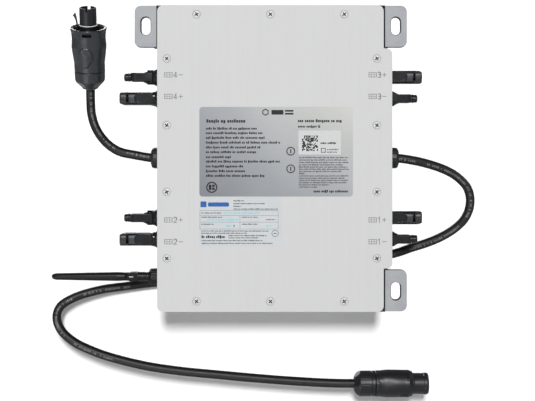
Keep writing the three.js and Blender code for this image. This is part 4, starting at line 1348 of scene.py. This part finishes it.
def build_plug():
    """The connector at the end of the long lead."""
    nut = revolve(dense(fillet(PLUG_NUT, 4, True), 0.8, True), 150, True, plug_nut_shape)
    finish(nut, "plug_cable_nut", "ac_plug_nut", TRUNK_DARK, PLUG)

    shell = revolve(dense(fillet(PLUG_SHELL, 4, True), 0.8, True), 150, True, plug_shell_shape)
    cuts = [brick((46.0, 53.6), (-12.4, -6.4), (-16, -8.6), 0.5)]
    for degrees in (143, 156):
        cuts.append(moved(brick((51.6, 53.9), (0, 20), (-0.9, 0.9), 0.4),
                          turn(radians(degrees), "X")))
    cut(shell, cuts)
    finish(shell, "plug_shell", "ac_plug_shell", TRUNK_DARK, PLUG)

    insert = revolve(dense(fillet(PLUG_INSERT), 0.9), 120, shape=plug_insert_shape)
    cut(insert, [brick((66, 76), (7.5, 12), (-1.2, 1.2), 0.3),
                 brick((63.5, 66.6), (-6.9, -3.6), (-12, -9.4), 0.3),
                 brick((68.3, 71.6), (-6.9, -3.6), (-12, -9.4), 0.3)])
    finish(insert, "plug_insert", "ac_plug_insert", TRUNK_DARK, PLUG)
    for number, place in enumerate(three_places(3.9, -pi / 2), 1):
        finish(revolve(fillet(PLUG_PIN, 3), 20), "plug_pin_%d" % number,
               None, TIN, PLUG @ place)


# ---------------------------------------------------------------- antenna
PIVOT = 28.6   # distance of the pivot from the cabinet's side
CHEEK_RADIUS, TONGUE_RADIUS, CHEEK_GAP = 4.5, 4.3, 2.3
ANTENNA_NUT = [
    (-6, 3.15), (-6, 4.5), (0.3, 4.5), (0.3, 8.2, 0.3), (8.6, 8.15, 0.5), (10.3, 7.3, 0.4),
    (10.6, 6.6, 0.3), (10.6, 3.15)]
FORK = [
    (-1, 0), (-1, 2.7, 0.3), (10.9, 2.7), (10.9, 4.6, 0.3), (13.2, 4.65, 0.2),
    (13.6, 4.3, 0.15), (14.4, 4.3, 0.15), (14.8, 4.65, 0.2), (23.4, 4.65, 0.5),
    (24.2, 4.1, 0.4), (24.2, 0)]
BLADE = [
    (PIVOT + 4.9, 0), (PIVOT + 4.9, 3.4, 0.5), (PIVOT + 6.2, 4.15, 0.8), (PIVOT + 14, 4.5, 12),
    (PIVOT + 30, 4.25, 20), (103.6, 3.35, 2.0), (106.6, 2.6, 1.4), (107.8, 1.1, 0.9), (107.8, 0)]


def antenna_teeth(x, r, angle):
    if r > 7.2 and x > 1.0:
        return r - 0.35 * groove(24, angle) * smooth(1.0, 2.0, x)
    return r


def build_antenna_fork(place):
    fork = revolve(fillet(FORK), 64)
    cheek = arc(PIVOT, 0, CHEEK_RADIUS, -90, 90, 18) + [(21.5, CHEEK_RADIUS),
                                                        (21.5, -CHEEK_RADIUS)]
    join(fork, [side_slab(side, cheek, CHEEK_GAP, 4.6, 0.2, 0.5) for side in (-1, 1)])
    # the gap between the cheeks reaches into the collar
    cut(fork, [brick((23.4, PIVOT + 6), (-CHEEK_GAP, CHEEK_GAP), (-6, 6), 0.3)])
    pin = revolve(fillet([(-4.55, 0), (-4.55, 1.2), (4.55, 1.2), (4.55, 0)], 2), 24)
    join(fork, [moved(pin, shift(PIVOT) @ X_TO_Y)])
    # a shallow ring at each end of the pivot
    cuts = []
    for side in (-1, 1):
        ring = revolve([(4.35, 1.7), (4.35, 2.2), (5, 2.2), (5, 1.7)], 32, True)
        cuts.append(moved(ring, shift(PIVOT) @ turn(side * pi / 2, "Z")))
    cut(fork, cuts)
    finish(fork, "antenna_fork", "antenna_base", ANTENNA, place,
           body="antenna_collar")


def build_antenna_whip(place):
    """A flat tongue with an eye, then a swelling, tapering blade."""
    tongue = arc(PIVOT, 0, TONGUE_RADIUS, 90, 270, 18) + [(PIVOT + 7, -3.9), (PIVOT + 7, 3.9)]
    whip = slab(tongue, -1.95, 1.95, 0.35, 0.35)
    join(whip, [revolve(dense(fillet(BLADE, 6), 2.0), 56)])
    eye = revolve([(-3, 0), (-3, 1.6), (3, 1.6), (3, 0)], 24)
    cut(whip, [moved(eye, shift(PIVOT) @ X_TO_Y)])
    finish(whip, "antenna_whip_blade", "antenna_whip", ANTENNA, place,
           body="antenna_rod")


def build_antenna():
    place = port(-1, ANTENNA_Z)
    nut = revolve(dense(fillet(ANTENNA_NUT, 4, True), 0.9, True), 144, True, antenna_teeth)
    finish(nut, "antenna_collar_nut", "antenna_jack", ANTENNA, place)
    build_antenna_fork(place)
    # a painted highlight, a pale stripe on each pivot head; the port frame turns local +Y to the
    # front
    for side, tag in ((-1, "back"), (1, "front")):
        pivot_painted_highlight = brick((PIVOT - 2.1, PIVOT + 1.9), (side * 4.5, side * 4.62), (-0.28, 0.34),
                       0.05, 1)
        finish(pivot_painted_highlight, "antenna_pivot_painted_highlight_" + tag, None, PIVOT_HIGHLIGHT_PAINT, place,
               body="antenna_collar")
    build_antenna_whip(place)


# ---------------------------------------------------------------- labels and printing
LABEL_BACK, LABEL_FRONT = COVER_FRONT - 0.05, COVER_FRONT - 0.28
INK_FRONT = LABEL_FRONT - 0.04
# layers of ink: front, back
ON_LABEL = (INK_FRONT, LABEL_FRONT + 0.01)
ON_INK = (INK_FRONT - 0.028, INK_FRONT + 0.015)
ON_COVER = (COVER_FRONT - 0.045, COVER_FRONT + 0.02)
HAIRLINE_HALF = 0.12

# lines of blocks as (left x, right x, z); the runs drawn depend on the exact x values
LEFT_COLUMN_X = -63.3096
LEFT_COLUMN = (   # right x, z
    (-13.4826, 28.284), (-7.1321, 23.888), (-5.6666, 19.296), (8.9884, 14.606),
    (-9.5746, 9.917), (-12.9941, 5.325), (-37.9076, 0.44), (9.9654, -3.859),
    (-26.6721, -8.646), (-25.2066, -13.238), (-4.6896, -17.83))
RIGHT_COLUMN_X = 27.5514
RIGHT_COLUMN = (   # right x, z
    (76.4014, 0.44), (74.4474, -2.003), (76.8899, -4.445), (71.5164, -6.692),
    (75.4244, -8.842), (76.4014, -10.991), (69.5624, -13.141), (33.4134, -15.29),
    (75.9129, -17.537), (72.4934, -19.784), (76.4014, -21.934), (74.4474, -24.083),
    (57.8384, -26.232), (46.1144, -28.382))
FILM_HEADER_X = -36.4421
FILM_HEADER = (   # right x, z
    (-25.6951, -41.767), (-4.6896, -44.502), (-28.1376, -47.238), (7.0344, -49.876))
FILM_CYAN = (
    (-45.7236, -10.5516, -53.979), (-62.3326, -31.5571, -60.525),
    (-43.7696, -37.9076, -66.778), (-4.6896, 0.6839, -66.778))
FILM_SMALL = (
    (-67.9015, -47.6776, -53.686), (-67.9015, -46.7006, -57.79), (-28.1376, -12.5056, -57.79),
    (-4.6896, 5.0804, -60.134), (-67.9015, -54.5166, -64.629), (-28.1376, -12.5056, -64.629),
    (-67.7061, -1.7586, -71.272), (-67.7061, -23.2526, -73.422), (-41.3271, -3.7126, -75.766),
    (-41.3271, -11.5286, -77.916), (-67.7061, -7.1321, -80.651), (-67.7061, 2.1494, -83.289))
TABLE_X = (-69.1716, 7.2298)
TABLE_RULES_Z = (-50.853, -55.738, -62.088, -68.83)


class Print:
    """Collects thin closed boxes of one ink into one mesh."""

    def __init__(self, layer=ON_LABEL):
        self.verts, self.faces, self.layer = [], [], layer

    def prism(self, points):
        points = tidy(points)
        n, b = len(points), len(self.verts)
        front, back = self.layer
        self.verts += [(x, back, z) for x, z in points] + [(x, front, z) for x, z in points]
        self.faces += [(b + i, b + (i + 1) % n, b + n + (i + 1) % n, b + n + i)
                       for i in range(n)]
        self.faces += [tuple(b + i for i in range(n)), tuple(b + n + i for i in reversed(range(n)))]

    def rect(self, x0, x1, z0, z1, r=0.0):
        self.prism(rrect(x0, x1, z0, z1, r, 3) if r > 0
                   else [(x0, z0), (x1, z0), (x1, z1), (x0, z1)])

    def frame(self, x0, x1, z0, z1, width):
        self.rect(x0, x1, z1 - width, z1)
        self.rect(x0, x1, z0, z0 + width)
        self.rect(x0, x0 + width, z0 + width + 0.01, z1 - width - 0.01)
        self.rect(x1 - width, x1, z0 + width + 0.01, z1 - width - 0.01)

    def ring(self, x, z, radius, width, sides, start=0.0):
        """A regular outline drawn as separate bars."""
        inner = radius - width
        for i in range(sides):
            a0, a1 = start + 2 * pi * i / sides, start + 2 * pi * (i + 1) / sides - 0.01
            corners = ((radius, a0), (radius, a1), (inner, a1), (inner, a0))
            self.prism([(x + r * cos(a), z + r * sin(a)) for r, a in corners])

    def words(self, x0, x1, z, height):
        """A line of plain blocks in word-like groups; no letter shapes."""
        x = x0
        while x < x1 - height * 0.4:
            for _ in range(RNG.choice((2, 3, 4, 5, 6, 7, 8))):
                width = height * RNG.uniform(0.42, 0.62)
                if x + width > x1:
                    return
                top = height * (1.0 if RNG.random() < 0.22 else 0.74)
                low = -height * 0.20 if RNG.random() < 0.10 else 0.0
                self.rect(x, x + width, z + low, z + top)
                x += width + height * 0.14
            x += height * 0.42

    def stroke(self, points, width):
        for a, b in zip(points, points[1:]):
            a, b = Vector(a), Vector(b)
            along = (b - a).normalized() * width * 0.5
            side = Vector((-along.y, along.x))
            cap = along * 0.9
            self.prism([tuple(p) for p in (a - cap + side, a - cap - side,
                                           b + cap - side, b + cap + side)])

    def piece(self, name, material, slot):
        finish(solid(self.verts, self.faces), name, None, material).modifiers.clear()


def label_plate(node, name, corner, steps, material):
    lo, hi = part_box(node)
    outline = rrect(lo.x * 1000, hi.x * 1000, lo.z * 1000, hi.z * 1000, corner, steps)
    finish(slab(outline, LABEL_FRONT, LABEL_BACK, 0.05, 0.05, 2), name, node, material)


def print_foil(dark, soft, white):
    """Black, grey and pale printing of the silver label."""
    # header: a plain hexagon and bars
    dark.ring(-5.1781, 45.284, 3.5, 1.1, 6, pi / 6)
    dark.rect(0.6839, 12.4079, 42.939, 47.433, 0.6)
    dark.rect(13.8734, 22.1779, 42.939, 44.6, 0.5)
    dark.rect(13.8734, 22.1779, 45.772, 47.433, 0.5)
    # left column
    dark.words(-62.8211, -24.7181, 35.123, 3.3)
    for right, z in LEFT_COLUMN:
        dark.words(LEFT_COLUMN_X, right, z, 2.3)
    # corner emblem: a ring round a divided square
    x, z = -57.643, -28.089
    dark.ring(x, z, 5.5, 1.3, 28)
    dark.rect(x - 2.9, x - 0.35, z - 2.6, z + 2.6, 0.3)
    dark.rect(x + 0.35, x + 2.9, z + 0.35, z + 2.6, 0.3)
    dark.rect(x + 0.35, x + 2.9, z - 2.6, z - 0.35, 0.3)
    # two round marks
    x = 19.54
    for z in (7.181, -10.014):
        dark.ring(x, z, 4.3, 1.0, 24)
        dark.rect(x - 0.55, x + 0.55, z - 2.1, z + 2.1, 0.2)
    # right column
    dark.words(26.5744, 69.5624, 35.514, 2.9)
    dark.words(26.5744, 49.0454, 30.336, 2.2)
    white.rect(27.0629, 68.5854, 3.957, 27.405, 0.4)
    # random patchwork inside the pale field
    dark.layer = ON_INK
    count, x0, x1, z0, z1 = 15, 30.4824, 46.1144, 7.376, 22.52
    w, h = (x1 - x0) / count, (z1 - z0) / count
    for i in range(count):
        for j in range(count):
            if RNG.random() < 0.58:
                dark.rect(x0 + i * w + 0.01, x0 + (i + 1) * w - 0.01,
                          z0 + j * h + 0.01, z0 + (j + 1) * h - 0.01)
    dark.words(48.5569, 65.1659, 14.215, 1.9)
    dark.frame(49.0454, 53.5396, 5.813, 10.307, 0.6)
    dark.words(54.9074, 66.6314, 8.353, 1.2)
    dark.words(54.9074, 64.6774, 5.813, 1.2)
    dark.layer = ON_LABEL
    for right, z in RIGHT_COLUMN:
        soft.words(RIGHT_COLUMN_X, right, z, 1.35)
    dark.words(41.7179, 76.8899, -33.071, 2.4)


def print_film(dark, soft, blue, cyan):
    """Printing of the white label: a header, a ruled table and small lines."""
    blue.rect(-68.6831, -62.8211, -47.531, -41.864, 0.8)
    blue.rect(-61.3556, -40.8386, -46.945, -42.841, 1.0)
    for right, z in FILM_HEADER:
        soft.words(FILM_HEADER_X, right, z, 1.25)
    for z in TABLE_RULES_Z:
        soft.rect(*TABLE_X, z - HAIRLINE_HALF, z + HAIRLINE_HALF)
    for x, top in ((TABLE_X[0], -50.951), (TABLE_X[1], -50.951), (-30.0916, -55.836)):
        soft.rect(x - HAIRLINE_HALF, x + HAIRLINE_HALF, -68.732, top)
    for left, right, z in FILM_CYAN:
        cyan.words(left, right, z, 1.9)
    for left, right, z in FILM_SMALL:
        soft.words(left, right, z, 1.2)
    soft.rect(-36.3444, -35.3674, -66.876, -64.726)
    dark.words(-67.7061, -44.7466, -77.623, 2.6)
    x, z = 4.2988, -73.128
    soft.ring(x, z, 3.4, 0.5, 24)
    soft.rect(x - 1.4, x + 1.4, z - 0.4, z + 0.4)


def build_labels():
    label_plate("rating_label", "rating_label_foil", 3, 8, FOIL)
    label_plate("energy_label", "energy_label_film", 1.5, 6, FILM)
    dark, soft, white, blue, cyan = (Print() for _ in range(5))
    print_foil(dark, soft, white)
    print_film(dark, soft, blue, cyan)
    dark.piece("label_print_black", INK_BLACK, "label_silver")
    soft.piece("label_print_grey", INK_GREY, "label_silver")
    white.piece("label_print_field", INK_FIELD, "label_white")
    blue.piece("label_print_blue", INK_BLUE, "label_white")
    cyan.piece("label_print_cyan", INK_CYAN, "label_white")


# numerals as polylines in a unit square
NUMERALS = {
    "1": [(0.1, 0.76), (0.5, 1.0), (0.5, 0.0)],
    "2": [(0.06, 0.74), (0.14, 0.92), (0.5, 1.0), (0.86, 0.92), (0.94, 0.72), (0.84, 0.52),
          (0.04, 0.04), (0.98, 0.04)],
    "3": [(0.06, 0.88), (0.45, 1.0), (0.85, 0.92), (0.9, 0.70), (0.75, 0.56), (0.4, 0.53),
          (0.78, 0.49), (0.95, 0.28), (0.82, 0.08), (0.45, 0.0), (0.04, 0.12)],
    "4": [(0.72, 0.0), (0.72, 1.0), (0.02, 0.28), (1.0, 0.28)],
}
MARK_HEIGHT, NUMERAL_WIDTH = 5.3, 3.0
MARK_Z = (81.824, 60.721, -59.939, -81.238)
# x of the pictogram, the numeral and the sign, then the texts from top to bottom
MARKS = (((-104.1482, -94.769, -90.0794), ("4-", "4+", "2+", "2-")),
         ((95.5506, 104.6367, 108.8378), ("3+", "3-", "1+", "1-")))


def port_mark(marks, pictogram_x, numeral_x, sign_x, z, text):
    # pictogram: a framed grid of three by two
    x0, x1 = pictogram_x, pictogram_x + 8.2
    z0, z1 = z - MARK_HEIGHT / 2 + 0.2, z + MARK_HEIGHT / 2 - 0.2
    marks.frame(x0, x1, z0, z1, 0.65)
    columns = [x0 + (x1 - x0) * i / 3 for i in range(4)]
    for x in columns[1:3]:
        marks.rect(x - 0.24, x + 0.24, z0 + 0.66, z1 - 0.66)
    for i in range(3):
        marks.rect(columns[i] + (0.66 if i == 0 else 0.25),
                   columns[i + 1] - (0.66 if i == 2 else 0.25), z - 0.24, z + 0.24)
    numeral, sign = text
    marks.stroke([(numeral_x + u * NUMERAL_WIDTH, z - MARK_HEIGHT / 2 + v * MARK_HEIGHT)
                  for u, v in NUMERALS[numeral]], 0.72)
    marks.rect(sign_x, sign_x + 4.2, z - 0.36, z + 0.36)
    if sign == "+":
        marks.rect(sign_x + 1.74, sign_x + 2.46, z + 0.37, z + 2.1)
        marks.rect(sign_x + 1.74, sign_x + 2.46, z - 2.1, z - 0.37)


def build_port_marks():
    marks = Print(ON_COVER)
    for places, texts in MARKS:
        for z, text in zip(MARK_Z, texts):
            port_mark(marks, *places, z, text)
    marks.piece("port_marks", INK_MARK, "cover_alloy")


# ---------------------------------------------------------------- inside: dressed CAD parts
def dress(node, material, bevel=0):
    """Gives a CAD part a material and, if asked, a bevel of that width in metres."""
    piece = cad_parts[node]
    piece.data.materials.clear()
    piece.data.materials.append(material)
    if bevel:
        modifier = piece.modifiers.new("edge", "BEVEL")
        modifier.width = bevel
        modifier.segments = 2
        modifier.limit_method = "ANGLE"
        modifier.angle_limit = radians(40)
        modifier.use_clamp_overlap = True


def dress_inside():
    ferrite = mottled("ferrite_core", (0.030, 0.030, 0.034), (0.065, 0.065, 0.070), scale=900,
                      metal=0.1, rough=(0.5, 0.7), bump=0.35)
    dress("main_circuit_board", board_mask())
    for place in ("left_upper", "right_upper", "left_lower", "right_lower"):
        dress("transformer_" + place, ferrite, bevel=0.0006)
    dress("output_choke", winding_copper())
    dress("grid_relay", plastic("relay_case", (0.03, 0.05, 0.10), (0.05, 0.075, 0.14),
                                rough=(0.3, 0.42)), bevel=0.0005)
    dress("bulk_capacitor", plastic("capacitor_sleeve", (0.02, 0.03, 0.07), (0.035, 0.05, 0.10),
                                    rough=(0.22, 0.35)))
    dress("radio_module", mottled("radio_can", (0.48, 0.48, 0.47), (0.62, 0.62, 0.60), scale=700,
                                  metal=0.85, rough=(0.28, 0.42), bump=0.15), bevel=0.0003)


# ---------------------------------------------------------------- camera, stage and light (m)
PURE_WHITE = (1, 1, 1)
WORLD_FILL = 0.18      # strength of the world on the product; the camera sees 1.0
KEY_DISTANCE, KEY_SIZE = 6.0, 1.35
# name, place, width, height, watts
SIDE_LIGHTS = (
    ("strip_low", (-1.3, -2.2, -1.45), 0.55, 1.1, 20),
    ("back", (-0.9, 1.9, 0.9), 1.3, 1.3, 22),
    ("side", (2.0, 0.5, 0.8), 1.0, 1.0, 7))
# the pieces that shade the wall
WALL_SHADERS = ("ac_lead_long_sheath", "housing_cast_body", "cover_sheet", "plug_shell",
                "plug_cable_nut", "plug_insert")


def add_camera():
    lens = bpy.data.cameras.new("camera")
    camera = link_object("camera", lens)
    camera.location = (0, -1.0425, 0)
    camera.rotation_euler = (pi / 2, 0, 0)
    lens.lens, lens.sensor_width = 68.87, 36
    lens.shift_x, lens.shift_y = -0.0061, -0.0784
    lens.clip_start, lens.clip_end = 0.02, 50
    SCENE.camera = camera


def stage_plane(name, corners):
    mesh = bpy.data.meshes.new(name)
    mesh.from_pydata(corners, [], [(0, 1, 2, 3)])
    plane = link_object(name, mesh)
    plane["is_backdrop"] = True
    return plane


def wall_paint():
    """White to the camera from the front, clear to everything else."""
    material = bpy.data.materials.new("wall_paint")
    tree = blank_tree(material)
    paint = add_node(tree, "ShaderNodeBsdfDiffuse", [(0.9, 0.9, 0.9)])
    clear = add_node(tree, "ShaderNodeBsdfTransparent")
    path = add_node(tree, "ShaderNodeLightPath")
    geometry = add_node(tree, "ShaderNodeNewGeometry")
    front = add_node(tree, "ShaderNodeMath", [1.0, geometry.outputs["Backfacing"]],
                     operation="SUBTRACT")
    seen = add_node(tree, "ShaderNodeMath", [path.outputs["Is Camera Ray"], front.outputs[0]],
                    operation="MULTIPLY")
    mixed = add_node(tree, "ShaderNodeMixShader",
                     [seen.outputs[0], clear.outputs[0], paint.outputs[0]])
    add_node(tree, "ShaderNodeOutputMaterial", [mixed.outputs[0]])
    return material


def floor_paint():
    """Pale paint that also glows a little to the camera."""
    material = bpy.data.materials.new("floor_paint")
    tree = blank_tree(material)
    paint = add_node(tree, "ShaderNodeBsdfDiffuse", [(0.80, 0.80, 0.80)])
    path = add_node(tree, "ShaderNodeLightPath")
    strength = add_node(tree, "ShaderNodeMath", [path.outputs["Is Camera Ray"], 0.42],
                        operation="MULTIPLY")
    glow = add_node(tree, "ShaderNodeEmission", [PURE_WHITE, strength.outputs[0]])
    both = add_node(tree, "ShaderNodeAddShader", [paint.outputs[0], glow.outputs[0]])
    add_node(tree, "ShaderNodeOutputMaterial", [both.outputs[0]])
    return material


def add_stage():
    lo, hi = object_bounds()
    wall_y, floor_z = hi.y + 0.0010, lo.z - 0.0270
    wall = stage_plane("wall", [(-3, wall_y, floor_z), (3, wall_y, floor_z),
                                (3, wall_y, 2.2), (-3, wall_y, 2.2)])
    floor = stage_plane("floor", [(-3, -3, floor_z), (3, -3, floor_z),
                                  (3, 3, floor_z), (-3, 3, floor_z)])
    add_materials(wall, wall_paint())
    add_materials(floor, floor_paint())
    return wall, floor


def add_world():
    world = bpy.data.worlds.new("studio")
    SCENE.world = world
    tree = blank_tree(world)
    fill = add_node(tree, "ShaderNodeBackground", [PURE_WHITE, WORLD_FILL])
    seen = add_node(tree, "ShaderNodeBackground", [PURE_WHITE, 1.0])
    path = add_node(tree, "ShaderNodeLightPath")
    mixed = add_node(tree, "ShaderNodeMixShader",
                     [path.outputs["Is Camera Ray"], fill.outputs[0], seen.outputs[0]])
    add_node(tree, "ShaderNodeOutputWorld", [mixed.outputs[0]])


def group(name, members):
    collection = bpy.data.collections.new(name)
    for member in members:
        collection.objects.link(member)
    return collection


def area_light(name, place, width, height, watts, receivers, blockers):
    """An elliptic light aimed at the origin."""
    light = bpy.data.lights.new(name, "AREA")
    light.shape = "ELLIPSE"
    light.size = width
    light.size_y = height
    light.energy = watts
    lamp = link_object(name, light)
    lamp.location = place
    lamp.rotation_euler = (-Vector(place)).to_track_quat("-Z", "Y").to_euler()
    lamp.light_linking.receiver_collection = receivers
    lamp.light_linking.blocker_collection = blockers


def key_place(elevation):
    angle = radians(elevation)
    return (0.0, -KEY_DISTANCE * cos(angle), KEY_DISTANCE * sin(angle))


def add_lights(wall, floor):
    meshes = [item for item in SCENE.objects if item.type == "MESH" and item != wall]
    lit = group("lit_product", meshes)
    shades = group("shades_product", [item for item in meshes if item != floor])
    lit_wall = group("lit_wall", [wall])
    wall_shade = group("wall_shade", [item for item in meshes if item.name in WALL_SHADERS])
    # a soft source above the lens; its twin lights the wall, where only large shapes shade it
    area_light("key", key_place(22.5), width=KEY_SIZE, height=1.95, watts=270.0,
               receivers=lit, blockers=shades)
    area_light("key_wall", key_place(25.0), width=KEY_SIZE, height=1.8, watts=420.0,
               receivers=lit_wall, blockers=wall_shade)
    for light in SIDE_LIGHTS:
        area_light(*light, lit, shades)


build_housing()
build_gasket()
build_cover()
build_screws()
build_ear("top_left", -1, 1)
build_ear("top_right", 1, 1)
build_ear("bottom_right", 1, -1)
build_panel_connectors()
build_glands()
build_leads()
build_socket()
build_plug()
build_antenna()
build_labels()
build_port_marks()
dress_inside()
add_camera()
stage_wall, stage_floor = add_stage()
add_world()
add_lights(stage_wall, stage_floor)
SCENE.view_settings.view_transform = "Standard"
